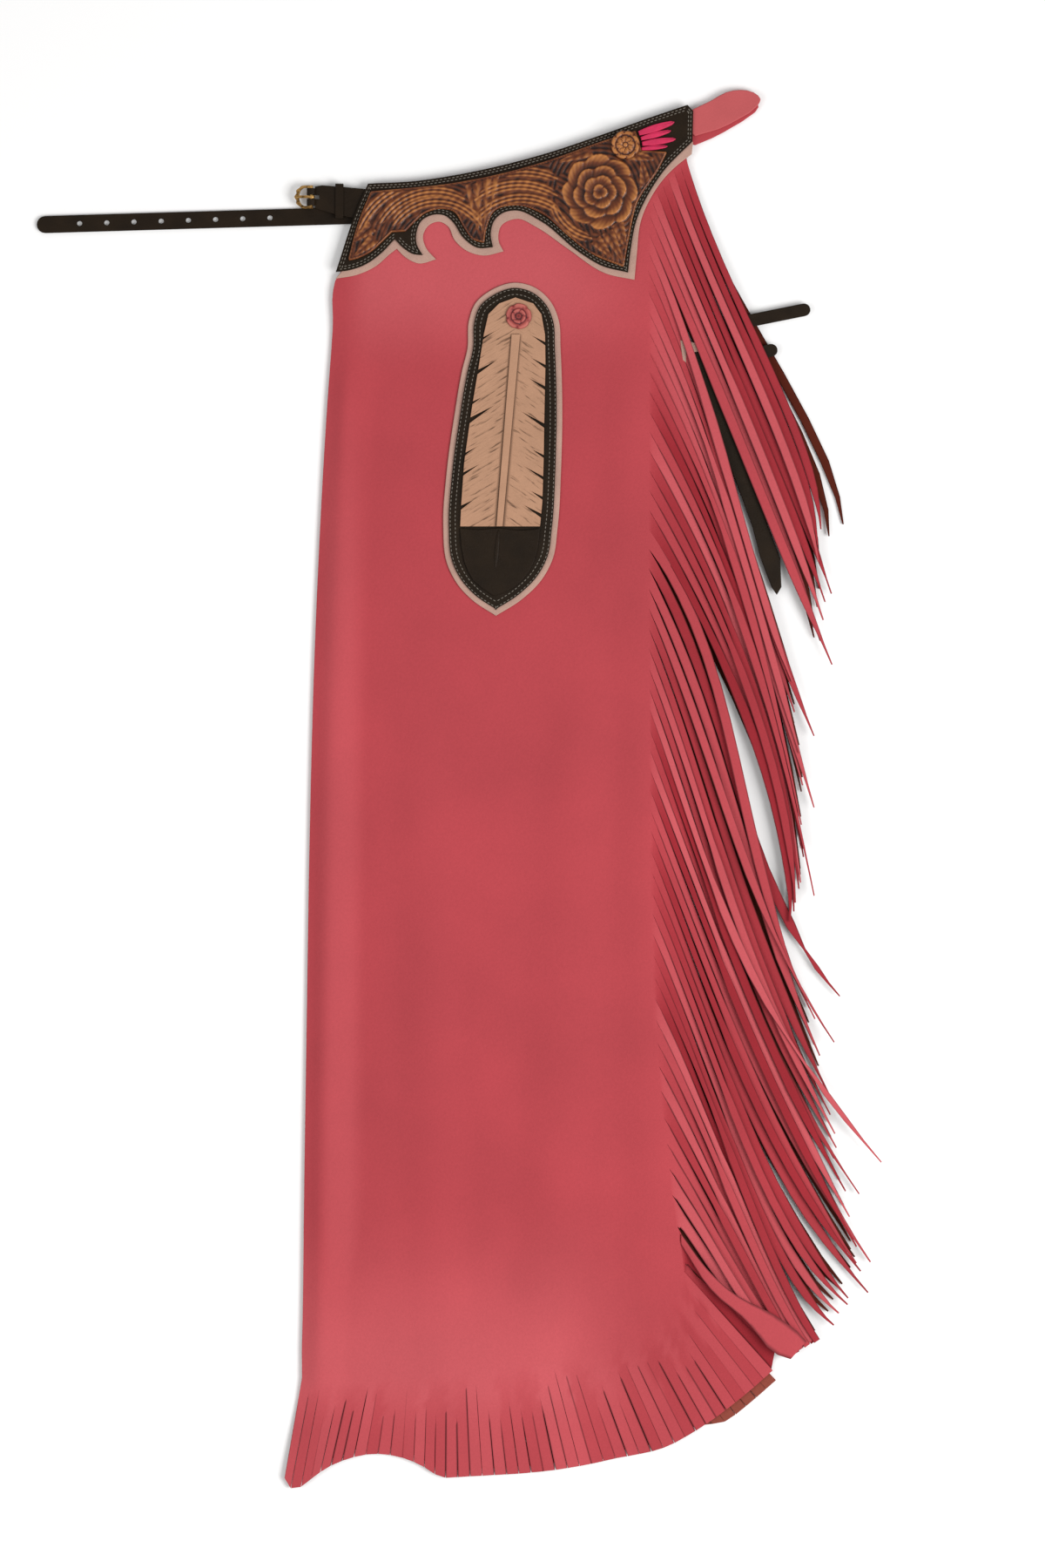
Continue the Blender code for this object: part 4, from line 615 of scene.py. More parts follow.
def legging(name, materials, waist, hem, inner, wing, top, lie, hem_count, hem_ends, height, tip_level,
            last_tone, turned_over, seed):
    """The panel with both its fringes as one cut sheet, with a wall; edges that turn more than 50 degrees are
    shaded sharp.
    """
    bm = bmesh.new()
    bm.verts.layers.float.new("tone")
    bm.verts.layers.float.new("cut")
    bm.verts.layers.deform.verify()
    outer = with_halves(wing_stations(wing, WING_COUNT))
    hem_points = with_halves([at_share(hem, k / hem_count) for k in range(hem_count + 1)])
    outer[-1] = hem_points[-1]
    roots = outer
    outer = [top, top.lerp(outer[0], 0.5)] + outer
    inner_points = [at_share(inner, share) for share in shares_along(outer)]
    inner_points[-1] = hem_points[0]
    waist_points = [at_share(waist, k / (len(hem_points) - 1)) for k in range(len(hem_points))]
    waist_points[0], waist_points[-1] = inner_points[0], outer[0]
    cut_sheet(bm, waist_points, hem_points, inner_points, outer, height)
    wing_strands(bm, roots, height=height, **lie)
    tips = [at_share(hem_ends, k / hem_count) for k in range(hem_count + 1)]
    hem_strands(bm, hem_points, tips, height, tip_level, last_tone, random.Random(seed))
    for left, right, low, high, tone in turned_over:
        left, right = smooth(left), smooth(right)
        rows = []
        for k in range(TURNED_ROWS + 1):
            first, last = at_share(left, k / TURNED_ROWS), at_share(right, k / TURNED_ROWS)
            z = mix(low, high, step_up(k / TURNED_ROWS, 0.0, TURNED_CLIMB))
            middle = first.lerp(last, 0.5)
            rows.append([Vector((*last, z)), Vector((*middle, z + TURNED_CROWN)), Vector((*first, z))])
        # Both edges darkened along the whole length, partly as painted shade under the turned strand.
        strip(bm, rows, [(1.0, 1.0)] * len(rows), tone, STRAND_WALL)
    bmesh.ops.remove_doubles(bm, verts=bm.verts, dist=WELD)
    bmesh.ops.recalc_face_normals(bm, faces=bm.faces)
    bmesh.ops.reverse_faces(bm, faces=[face for face in bm.faces if face.normal.z > 0])
    raised = bmesh.ops.extrude_face_region(bm, geom=bm.faces[:], use_keep_orig=True)["geom"]
    thick = bm.verts.layers.deform.active
    for part in raised:
        if isinstance(part, bmesh.types.BMVert):
            part.co.z += LEG_LEATHER * part[thick][0]
    bmesh.ops.recalc_face_normals(bm, faces=bm.faces)
    for face in bm.faces:
        face.material_index = int(face.normal.z < -0.5)
    for edge in bm.edges:
        edge.smooth = edge.calc_face_angle(0.0) < SHARP_CUT
    return place_piece(name, bm, materials)


upper_lie = dict(
    rows=UPPER_ROWS, width=7.4, least_width=6.4, level=UPPER_LEVEL, levels=UPPER_LEVELS, level_by=0.45,
    rising=1.0, shifts=((0, 0, 0, 0),) * len(WING_LOCKS), strays=UPPER_STRAYS)
upper = legging(
    "upper_legging", (PINK, SHADED_FLESH), waist_line, hem_cut, inner_edge, wing_line,
    Vector(FRONT_CORNER), upper_lie, hem_count=44, hem_ends=hem_line, height=upper_height,
    tip_level=UPPER_TIP_LEVEL, last_tone=0.0, turned_over=TURNED_OVER, seed=7)
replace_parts(upper, "leg_upper", "wing_fringe_upper", "hem_fringe_upper")


# ----------------------------------------------------------
# Lower legging: the same cut, turned over and lying face down under the other, so its rough back shows
# between the strands and at the hem. The back's colour is darkened with painted shade, except at the last hem
# strands.

LOWER_INSET, LOWER_DROP, LOWER_WING_INSET = Vector((24.0, 0.0)), Vector((6.0, -4.0)), 8.0
LOWER_HEM_SHIFT, LOWER_HEM_FROM = Vector((-8.0, -1.0)), 0.11
UNDER_SHIFT, PEEK_SHIFT, PEEKS_OUT = Vector((0.0, 5.0)), Vector((2.5, -7.5)), (0.80, 0.89)
BEHIND_YOKE, FRONT_FROM, FRONT_TOP = 163.0, 400.0, 484.0
LOWER_HEM_COUNT = 36

lower_shares = [mix(LOWER_HEM_FROM, 1.0, k / LOWER_HEM_COUNT) for k in range(LOWER_HEM_COUNT + 1)]
lower_ends = [at_share(hem_line, share) + UNDER_SHIFT.lerp(PEEK_SHIFT, step_up(share, *PEEKS_OUT))
              for share in lower_shares]
lower_waist = [Vector((min(p.x + LOWER_DROP.x, BEHIND_YOKE), p.y + LOWER_DROP.y)) for p in waist_line]
lower_wing = [Vector((min(p.x, BEHIND_YOKE), p.y)) if p.y > FRONT_FROM else p
              for p in beside(wing_line, -LOWER_WING_INSET)]
lower_lie = dict(
    rows=LOWER_ROWS, width=6.4, least_width=5.6, level=LOWER_LEVEL, levels=LOWER_LEVELS, level_by=0.3,
    rising=0.0, shifts=LOWER_SHIFTS, strays=LOWER_STRAYS)
# Its last hem strands are lifted by last_tone out of the flesh side's painted shade.
lower = legging(
    "lower_legging", (SHADED_FLESH, PINK), lower_waist,
    [at_share(hem_cut, share) + LOWER_HEM_SHIFT for share in lower_shares],
    [p + LOWER_INSET for p in inner_edge], lower_wing, Vector((BEHIND_YOKE, FRONT_TOP)), lower_lie,
    hem_count=LOWER_HEM_COUNT, hem_ends=lower_ends, height=lambda x, y: 0.0, tip_level=0.0, last_tone=6.5,
    turned_over=(), seed=11)
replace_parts(lower, "leg_lower", "wing_fringe_lower", "hem_fringe_lower")


# ----------------------------------------------------------
# Yoke: a scalloped underlay of undyed suede, a black border sewn on with two rows of pale thread, and a
# carved and glazed panel. Each layer lies on the one below.

BLACK = leather("black_leather", (0.013, 0.0075, 0.0035), 0.42, 0.10, 0.3, 60.0, 900.0, 0.4)
TAN = leather("tan_suede", (0.40, 0.248, 0.198), 0.9, 0.2, 0.12, 50.0, 600.0, 0.6)
THREAD = leather("pale_thread", (0.16, 0.14, 0.115), 0.7, 0.2, 0.1, 80.0, 900.0, 0.2)

UNDERLAY_OUTLINE = (               # scalloped from the inner corner to the front end, then back inside
    (-92, 381.7, "corner"), (-75.7, 384.7), (-62, 391), (-50.8, 400.6), (-46.3, 404, "corner"),
    (-40.5, 398.2), (-30, 393.1), (-17, 396.1, "corner"), (-24.6, 405), (-26.7, 413.5), (-22.3, 421.6),
    (-14.5, 424.2), (-8, 420.6), (-3.5, 411), (5.9, 402.5), (18, 399), (33.3, 402.1, "corner"),
    (29.6, 410), (31.6, 421.2), (43.7, 426.4), (57, 420.6), (80.8, 404.3), (109.5, 385.6),
    (130.9, 380.9, "corner"), (132.6, 399), (136.1, 426.2), (142.8, 441.5), (152.4, 455.8), (161.8, 465.4),
    (173.6, 474.5, "corner"), (174.6, 483.6, "corner"), (163, 492, "corner"), (105, 478), (24, 455),
    (-50, 443, "corner"), (-58, 424, "corner"), (-84, 391, "corner"),
)
BORDER_OUTLINE = (
    (-91.7, 386.6, "corner"), (-82.6, 387.7), (-70.7, 391.6), (-58, 400.4), (-47.8, 411, "corner"),
    (-40.5, 403.8), (-33.9, 399.9), (-26.9, 399.1, "corner"), (-31.4, 407.5), (-31.4, 416.5), (-28, 424.5),
    (-21.9, 428.4), (-15.9, 429.5), (-10, 428.4), (-5, 424.5), (3.9, 411.5), (14, 404.6),
    (25.4, 405, "corner"), (23.8, 415), (26.8, 425.4), (33, 430.6), (43, 432.4), (59.8, 425.2),
    (90.4, 400.8), (107, 391), (126.1, 386.2, "corner"), (128.2, 404), (132.4, 425), (142.8, 447.2),
    (152.4, 461.5), (174.2, 483.9, "corner"), (174.7, 506.5, "corner"), (170.4, 511.1, "corner"),
    (142.8, 501.8), (104.7, 488.2), (66.5, 475.4), (24, 464.2), (-6, 458.2), (-31.9, 454.4),
    (-67.7, 452.4, "corner"), (-75, 436),
)
UNDERLAY_LEATHER, BORDER_LEATHER, TOOLED_LEATHER = 1.2, 1.5, 1.8
UNDERLAY_LEVEL = UPPER_LEG_LEVEL + LEG_LEATHER + SEAM_GAP
BORDER_LEVEL = UNDERLAY_LEVEL + UNDERLAY_LEATHER + SEAM_GAP
TOOLING_LEVEL = BORDER_LEVEL + BORDER_LEATHER + SEAM_GAP
BEADS_AT_ONCE, STITCH_PITCH, STITCH_HALF_SIZE, CLEAR_OF_RIM = 30, 3.1, (1.15, 0.375, 0.375), 0.85
BORDER_ROWS, PATCH_ROWS = (1.7, 3.5), (1.1, 4.8)      # how far in from the edge each row of stitches runs


def soften(bm, edges, width, clamp=False):
    """Rounds these edges."""
    bmesh.ops.bevel(bm, geom=edges, affect="EDGES", offset=width, segments=3, profile=0.5, material=-1,
                    clamp_overlap=clamp)


def bead(bm, place, turn, half_size, segments, rings):
    """Adds an ellipsoid of this half size, turned about the upright axis."""
    lie = Matrix.Translation(place) @ Matrix.Rotation(turn, 4, "Z") @ Matrix.Diagonal((*half_size, 1.0))
    bmesh.ops.create_uvsphere(bm, u_segments=segments, v_segments=rings, radius=1.0, matrix=lie)


def plate(name, node, line, level, thickness, edge, material):
    """A flat layer of leather with this outline and a rounded edge, in place of a CAD node."""
    bm = bmesh.new()
    face = bm.faces.new([bm.verts.new((*p, level)) for p in line])
    face.normal_update()
    if face.normal.z > 0:
        face.normal_flip()
    raised = bmesh.ops.extrude_face_region(bm, geom=[face], use_keep_orig=True)["geom"]
    top = [part for part in raised if isinstance(part, bmesh.types.BMVert)]
    bmesh.ops.translate(bm, vec=(0.0, 0.0, thickness), verts=top)
    bmesh.ops.recalc_face_normals(bm, faces=bm.faces)
    rim = [e for e in bm.edges if all(v in top for v in e.verts)]
    soften(bm, rim, edge)
    piece = place_piece(name, bm, [material], smooth_faces=False)
    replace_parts(piece, node)
    return piece


def layer(name, node, line, level, thickness, material):
    """A plate with a 0.5 mm rounded edge, lying on the piece below it."""
    piece = plate(name, node, line, level, thickness, 0.5, material)


def walk(points, spacing):
    """Places evenly spaced along a line, each with its direction."""
    marks = lengths(points)
    count = max(round(marks[-1] / spacing), 1)
    found, i = [], 1
    for k in range(count):
        wanted = (k + 0.5) * marks[-1] / count
        while marks[i] < wanted:
            i += 1
        a, b = points[i - 1], points[i]
        found.append((a.lerp(b, (wanted - marks[i - 1]) / (marks[i] - marks[i - 1])), (b - a).normalized()))
    return found


def points_of(line, spacing):
    """A search tree of points along a closed line."""
    places = [place for place, way in walk(line + line[:1], spacing)]
    tree = KDTree(len(places))
    for number, place in enumerate(places):
        tree.insert((*place, 0.0), number)
    tree.balance()
    return tree


def sew(name, line, insets, level):
    """Rows of stitches inside a closed line, each a bead of thread half sunk in the leather."""
    thread, some = bmesh.new(), bpy.data.meshes.new("some_stitches")
    rim, places = points_of(line, 0.5), []
    for inset in insets:
        for place, way in walk(closed_inside(line, inset), STITCH_PITCH):
            if rim.find((*place, 0.0))[2] > inset * CLEAR_OF_RIM:
                places.append((place, way))
    for start in range(0, len(places), BEADS_AT_ONCE):
        beads = bmesh.new()
        for place, way in places[start:start + BEADS_AT_ONCE]:
            bead(beads, (*place, level), math.atan2(way.y, way.x), STITCH_HALF_SIZE, 6, 4)
        beads.to_mesh(some)
        beads.free()
        thread.from_mesh(some)
    bpy.data.meshes.remove(some)
    place_piece(name, thread, [THREAD])


def closed_inside(line, distance):
    """A closed line moved inwards, for an outline that runs either way round."""
    area = sum(a.cross(b) for a, b in zip(line, line[1:] + line[:1]))
    moved = beside(line[-1:] + line + line[:1], distance if area > 0 else -distance)
    return moved[1:-1] + moved[1:2]


underlay_line = smooth(UNDERLAY_OUTLINE, 6, True)
border_line = smooth(BORDER_OUTLINE, 6, True)
layer("yoke_tan_layer", "yoke_underlay", underlay_line, UNDERLAY_LEVEL, UNDERLAY_LEATHER, TAN)
layer("yoke_black_layer", "yoke_border", border_line, BORDER_LEVEL, BORDER_LEATHER, BLACK)
sew("yoke_stitching", border_line, BORDER_ROWS, BORDER_LEVEL + BORDER_LEATHER)

# The carved panel: a fine grid trimmed to the outline, raised by the carving; the depth of the carving also
# says how dark the stain is.
TOOLED_OUTLINE = (
    (-82.6, 394.6, "corner"), (-75.7, 396.4), (-65.7, 401.2), (-55.9, 410), (-49.8, 416, "corner"),
    (-39.8, 416.5, "corner"), (-31.9, 424.5), (-26, 429.5), (-15, 433.2), (-4, 431.4), (3.9, 419.4),
    (10.5, 410.6), (18.9, 408, "corner"), (20.8, 419.4), (26.8, 432), (43.7, 435.9), (61.8, 430),
    (80.6, 414), (98, 400.5), (122.8, 390, "corner"), (126.6, 410.9), (133.3, 438.8), (148.5, 462.5),
    (155.2, 475.8, "corner"), (136.1, 476.8, "corner"), (131.5, 491.5, "corner"), (104.7, 483), (66.5, 469.4),
    (34, 460.2), (-11, 451.6), (-36, 449), (-65.7, 446.3, "corner"), (-75, 423),
)
ROSE_CENTRE = (105.0, 446.0)
ROSE_RINGS = (                     # radius, petals, turn in degrees, how far the petals stand out
    (5, 3, 0, 0.6),
    (11.5, 5, 20, 1),
    (18.5, 6, 50, 1.4),
    (26.5, 8, 10, 1.6),
)
SCROLLS = (                        # carved arcs: centre x, centre y, radius, from degrees, to degrees
    (-16, 400, 39, 32, 148),
    (-18, 399, 47, 62, 150),
    (-22, 396, 57, 104, 164),
    (47, 396, 45, 52, 140),
    (45, 397, 54, 58, 128),
    (48, 398, 63, 66, 106),
    (104, 446, 35, 196, 262),
)
LEAVES = (                         # carved leaves: base x, base y, point x, point y
    (-64, 410, -78, 398), (-66, 419, -80, 408), (10, 448, 14.5, 416),
    (17.5, 452, 18, 413), (25, 455, 20.5, 424), (112, 414, 122.5, 394),
    (119, 420, 125.5, 402), (103, 409, 114, 397), (139, 452, 136, 470),
    (129, 474, 146, 470), (96, 476, 74, 468),
)
CARVING_DEPTH, SCROLL_HALF_WIDTH, SCROLL_TAPER, LEAF_HALF_WIDTH = 1.25, 5.2, 16.0, 5.0
CARVING_GRID, SOFTENING, RIM, RIM_HEIGHT, CARVED_BY = 0.65, 0.25, (1.0, 1.6), 0.55, (0.6, 2.4)
GROUND_RIDGE, SCROLL_RIDGE, SPIRAL, MIDRIB, MIDRIB_DEPTH = 3.6, 3.1, 0.035, 0.12, 0.15


def carving(x, y):
    """Height of the carved relief, from 0 for the deepest cut to 1."""
    here = Vector((x, y))
    out = here - Vector(ROSE_CENTRE)
    distance = out.length
    bearing = math.atan2(out.y, out.x) + distance * SPIRAL
    inner = 0.0
    for radius, petals, turn, wave in ROSE_RINGS:
        lobe = abs(math.cos(petals / 2 * (bearing - math.radians(turn))))
        edge = radius + wave * (lobe * 2 - 1)
        if distance < edge:
            rise = (distance - inner) / (edge - inner)
            veins = 0.10 * math.cos(bearing * petals * 5)
            return (0.15 + 0.8 * rise ** 1.5 + veins * rise) * (0.5 + 0.5 * min(lobe * 2.5, 1.0))
        inner = edge
    nearest, best = 1e6, 0.0
    for centre_x, centre_y, radius, start, end in SCROLLS:
        out = here - Vector((centre_x, centre_y))
        off = out.length - radius
        angle = math.degrees(math.atan2(out.y, out.x)) % 360
        turned = math.radians(angle)
        if abs(off) < nearest:
            nearest = abs(off)
            wave = math.cos(math.tau * off / GROUND_RIDGE + math.sin(turned * 5))
            ground = 0.20 + 0.18 * wave + 0.07 * math.cos(turned * radius * 0.7)
        if start < angle < end:
            narrowing = min(1.0, (angle - start) / SCROLL_TAPER, (end - angle) / SCROLL_TAPER)
            lobes = 0.85 + 0.25 * abs(math.sin(turned * radius * 0.22))
            over = off / (SCROLL_HALF_WIDTH * lobes * (0.35 + 0.65 * narrowing))
            if abs(over) < 1:
                ridges = 0.55 + 0.40 * math.cos(math.tau * off / SCROLL_RIDGE + over)
                ridges += 0.12 * math.cos(turned * radius * 1.1 + over * 2)
                best = max(best, (1 - over * over) ** 0.3 * ridges)
    for base_x, base_y, point_x, point_y in LEAVES:
        base, point = Vector((base_x, base_y)), Vector((point_x, point_y))
        spine = point - base
        along = (here - base).dot(spine) / spine.length_squared
        if -0.12 < along < 1:
            half_width = LEAF_HALF_WIDTH * (1 - max(along, 0.0)) ** 0.7
            off = abs((here - base).cross(spine.normalized())) / max(half_width, 0.01)
            if off < 1:
                veins = 0.8 + 0.2 * math.cos(along * 24 - off * 4)
                blade = (0.35 + 0.65 * off) * veins * min(1.0, (1 - off) * 5)
                best = max(best, blade if off > MIDRIB else MIDRIB_DEPTH)
    return max(best, ground)


def ramp(tree, value, stops):
    """A colour ramp between two stops of (position, colour)."""
    node = add_node(tree, "ShaderNodeValToRGB", {"Fac": value})
    for element, (position, colour) in zip(node.color_ramp.elements, stops):
        element.position, element.color = position, (*colour, 1.0)
    return node


def stained(name, colours, roughness, coat, shine):
    """Carved leather: the stain stays in the cuts and is rubbed off the ridges."""
    made, tree, shader = new_material(
        name, {"Roughness": roughness, "Coat Weight": coat, "Specular IOR Level": shine})
    depth = stored(tree, "depth")
    where = own_place(tree)
    blotches = mottled(tree, where, 90.0, 4.0)
    blotched = sum_up(tree, "ADD", depth, sum_up(tree, "MULTIPLY_ADD", blotches, 0.6, -0.3))
    stain = ramp(tree, blotched, ((0.06, colours[0]), (0.95, colours[2])))
    stain.color_ramp.elements.new(0.42).color = (*colours[1], 1.0)
    matting = add_node(tree, "ShaderNodeTexVoronoi", {"Vector": where, "Scale": 1100.0}).outputs["Distance"]
    height = sum_up(tree, "MULTIPLY", matting, sum_up(tree, "SUBTRACT", 1.0, depth))
    punched = add_node(tree, "ShaderNodeBump", {"Height": height, "Strength": 0.2, "Distance": 0.0005})
    tree.links.new(stain.outputs["Color"], shader.inputs["Base Color"])
    tree.links.new(punched.outputs["Normal"], shader.inputs["Normal"])
    return made


GLAZED = stained(
    "glazed_carving", ((0.010, 0.002, 0.001), (0.115, 0.028, 0.008), (0.42, 0.16, 0.042)), 0.4, 0.06, 0.25)

tooled_line = smooth(TOOLED_OUTLINE, 6, True)
outline_tree = points_of(tooled_line, 0.25)


def crossings(line, y):
    """Where the closed line crosses this height."""
    return [a.x + (y - a.y) * (b.x - a.x) / (b.y - a.y) for a, b in zip(line, line[1:] + line[:1])
            if (a.y > y) != (b.y > y)]


bm = bmesh.new()
low = Vector((min(p.x for p in tooled_line), min(p.y for p in tooled_line))) - Vector((1.0, 1.0))
high = Vector((max(p.x for p in tooled_line), max(p.y for p in tooled_line))) + Vector((1.0, 1.0))
cells = [math.ceil((high - low)[axis] / CARVING_GRID) for axis in (0, 1)]
bmesh.ops.create_grid(bm, x_segments=cells[0], y_segments=cells[1], size=0.5)
bmesh.ops.scale(bm, vec=(high.x - low.x, high.y - low.y, 1.0), verts=bm.verts)
bmesh.ops.translate(bm, vec=(*((low + high) / 2), TOOLING_LEVEL + TOOLED_LEATHER), verts=bm.verts)
rows_of_grid = {y: crossings(tooled_line, y) for y in {round(v.co.y, 3) for v in bm.verts}}
outside = [v for v in bm.verts if sum(x > v.co.x for x in rows_of_grid[round(v.co.y, 3)]) % 2 == 0]
bmesh.ops.delete(bm, geom=outside, context="VERTS")
depth_layer = bm.verts.layers.float.new("depth")
for v in bm.verts:
    nearest, number, away = outline_tree.find((v.co.x, v.co.y, 0.0))
    if v.is_boundary:
        v.co = (nearest.x, nearest.y, v.co.z)
        v[depth_layer] = 0.5
    else:
        around = [carving(v.co.x + x * SOFTENING, v.co.y + y * SOFTENING) for x in (-1, 1) for y in (-1, 1)]
        carved = sum(around) / len(around) * step_up(away, *CARVED_BY)
        carved = max(carved, RIM_HEIGHT * (1 - step_up(away, *RIM)))
        v[depth_layer] = carved
        v.co.z += CARVING_DEPTH * carved
bmesh.ops.delete(bm, geom=[v for v in bm.verts if not v.link_faces], context="VERTS")
rim = [e for e in bm.edges if e.is_boundary]
for part in bmesh.ops.extrude_edge_only(bm, edges=rim)["geom"]:
    if isinstance(part, bmesh.types.BMVert):
        part.co.z = TOOLING_LEVEL
bmesh.ops.holes_fill(bm, edges=[e for e in bm.edges if e.is_boundary], sides=0)
bmesh.ops.recalc_face_normals(bm, faces=bm.faces)
panel = place_piece("tooled_panel", bm, [GLAZED])
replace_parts(panel, "yoke_tooling")


# ----------------------------------------------------------
# Front of the yoke: a carved leather rosette, the laces that fan out beside it, and the turned-over end of
# the lace tab in two layers.

LACE = leather("lace_leather", (0.50, 0.016, 0.072), 0.5, 0.3, 0.25, 90.0, 900.0, 0.3)
CONCHO_CENTRE, ROSETTE_STEPS = (124.0, 480.6), 64
CONCHO_LEVEL = TOOLING_LEVEL + TOOLED_LEATHER + 1.0 + SEAM_GAP
CONCHO_PROFILE = (                 # radius, height, depth of the stain
    (0, 2.7, 0.9), (1.3, 2.6, 0.8), (1.9, 1.7, 0.1), (2.6, 2.4, 0.8), (4.4, 2.8, 0.9), (6.2, 2.4, 0.7),
    (7.2, 1.7, 0.1), (8, 2.3, 0.8), (9.4, 2.5, 0.9), (10.3, 2.1, 0.6), (10.6, 1.4, 0.4), (10.6, 0, 0.3),
    (0, 0, 0),
)


PETAL_SWIRL, PETAL_FILL, EYE, SCALLOPED_FROM, SCALLOP, AXIS_WELD = 1.2, 2.2, 0.2, 0.6, 0.035, 0.01


def rosette(name, node, centre, level, profile, petals, dip, material):
    """A flower turned from (radius, height, depth) rows, its petals carved, in place of a CAD node."""
    bm = bmesh.new()
    depth, reach = bm.verts.layers.float.new("depth"), max(row[0] for row in profile)
    chain = [bm.verts.new((centre[0] + row[0], centre[1], level + row[1])) for row in profile]
    for v, row in zip(chain, profile):
        v[depth] = row[2]
    edges = [bm.edges.new(pair) for pair in zip(chain, chain[1:])]
    bmesh.ops.spin(bm, geom=chain + edges, cent=(*centre, 0.0), axis=(0.0, 0.0, 1.0), angle=math.tau,
                   steps=ROSETTE_STEPS, use_merge=True)
    bmesh.ops.remove_doubles(bm, verts=bm.verts, dist=AXIS_WELD)
    bmesh.ops.recalc_face_normals(bm, faces=bm.faces)
    for v in bm.verts:
        out = v.co.xy - Vector(centre)
        bearing = math.atan2(out.y, out.x) + PETAL_SWIRL * out.length / reach
        petal = min(abs(math.cos(petals / 2 * bearing)) * PETAL_FILL, 1.0)
        if out.length > reach * EYE and v.co.z > level + 0.1:
            v.co.z -= dip * (1 - petal)
            v[depth] *= 0.2 + 0.8 * petal
        if out.length > reach * SCALLOPED_FROM:
            v.co.xy = Vector(centre) + out * (1 + SCALLOP * (petal * 2 - 1.6))
    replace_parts(place_piece(name, bm, [material]), node)


rosette("carved_rosette", "rosette", CONCHO_CENTRE, CONCHO_LEVEL, CONCHO_PROFILE, 8, 0.9, GLAZED)


SAME_POINT, FLAT_TURN, SHARP_TURN = 0.001, math.radians(3.0), math.radians(40.0)


def rounded(name, node, edge, material, body="garment"):
    """The CAD node's own form with its edges rounded, in its place."""
    bm = bmesh.new()
    bm.from_mesh(bpy.data.objects[node].data)
    bmesh.ops.scale(bm, vec=(1 / MM, 1 / MM, 1 / MM), verts=bm.verts)
    bmesh.ops.remove_doubles(bm, verts=bm.verts, dist=SAME_POINT)
    bmesh.ops.dissolve_limit(bm, angle_limit=FLAT_TURN, verts=bm.verts, edges=bm.edges)
    sharp = [e for e in bm.edges if len(e.link_faces) == 2 and e.calc_face_angle() > SHARP_TURN]
    soften(bm, sharp, edge, clamp=True)
    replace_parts(place_piece(name, bm, [material], body, smooth_faces=False), node)


LACES = (                          # start x, start y, end x, end y, width
    (134, 489.6, 160.5, 498, 5.4), (135.5, 485.6, 158, 491.6, 4.2), (136.4, 481.8, 161.5, 485.4, 4.8),
    (136, 478, 155.5, 480, 3.4),
)
LACE_THICKNESS, LACE_STEPS, LACE_END = 1.8, 12, 0.12
for number, (x0, y0, x1, y1, width) in enumerate(LACES, 1):
    start, end = Vector((x0, y0)), Vector((x1, y1))
    way = (end - start).normalized()
    edges = []
    for t in (k / LACE_STEPS for k in range(LACE_STEPS + 1)):
        fullness = 0.45 + 0.55 * math.sin(math.pi * min(t * 0.9 + 0.1, 1.0)) if t < 1 else LACE_END
        edges.append((start.lerp(end, t), Vector((-way.y, way.x)) * width / 2 * fullness))
    line = [p + side for p, side in edges] + [p - side for p, side in reversed(edges)]
    plate(f"lace_strand_{number}", f"lace_{number}", line, TOOLING_LEVEL, LACE_THICKNESS, 0.7, LACE)
SMOOTH_PINK = leather("smooth_pink_leather", (0.42, 0.072, 0.076), 0.6, 0.3, 0.08, 30.0, 700.0, 0.2)
rounded("tab_end_upper", "lace_tab_upper", 0.7, SMOOTH_PINK)
rounded("tab_end_lower", "lace_tab_lower", 0.5, PINK)


# ----------------------------------------------------------
# Feather patch on the thigh: tan underlay, black surround with a row of stitches at each edge, the feather in
# smooth cream leather with its spine and dark tip, and a small rose.

CREAM_LOOK = ((0.385, 0.210, 0.128), 0.65, 0.2, 0.08, 60.0, 800.0, 0.2)
CREAM, BARBED = leather("cream_leather", *CREAM_LOOK), leather("barbed_leather", *CREAM_LOOK)
ROSE = stained(
    "stained_rose", ((0.030, 0.003, 0.004), (0.22, 0.028, 0.026), (0.46, 0.12, 0.095)), 0.5, 0.0, 0.3)

# Cream leather burnt along the barbs, which slope down and out from the spine; beside the spine it is
# darkened with painted shade
SPINE_X, SPINE_LEAN, SPINE_FROM, BARB_SLOPE = 0.0303, 0.0853, 0.197, 0.62
BURNT_AND_SHADE = (0.05, 0.022, 0.010, 1.0)
tree = BARBED.node_tree
at = add_node(tree, "ShaderNodeSeparateXYZ", {"Vector": own_place(tree)}).outputs
spine = sum_up(tree, "MULTIPLY_ADD", at["Y"], SPINE_LEAN, SPINE_X - SPINE_LEAN * SPINE_FROM)
aside = sum_up(tree, "SUBTRACT", at["X"], spine)
off_spine = sum_up(tree, "ABSOLUTE", aside)
along = sum_up(tree, "MULTIPLY_ADD", off_spine, BARB_SLOPE, at["Y"])
streaked = add_node(tree, "ShaderNodeCombineXYZ", {
    "X": sum_up(tree, "MULTIPLY", along, 460.0), "Y": sum_up(tree, "MULTIPLY", off_spine, 70.0),
    "Z": sum_up(tree, "MULTIPLY", sum_up(tree, "SIGN", aside), 9.0)}).outputs[0]
streaks = mottled(tree, streaked, 1.0, 3.0)
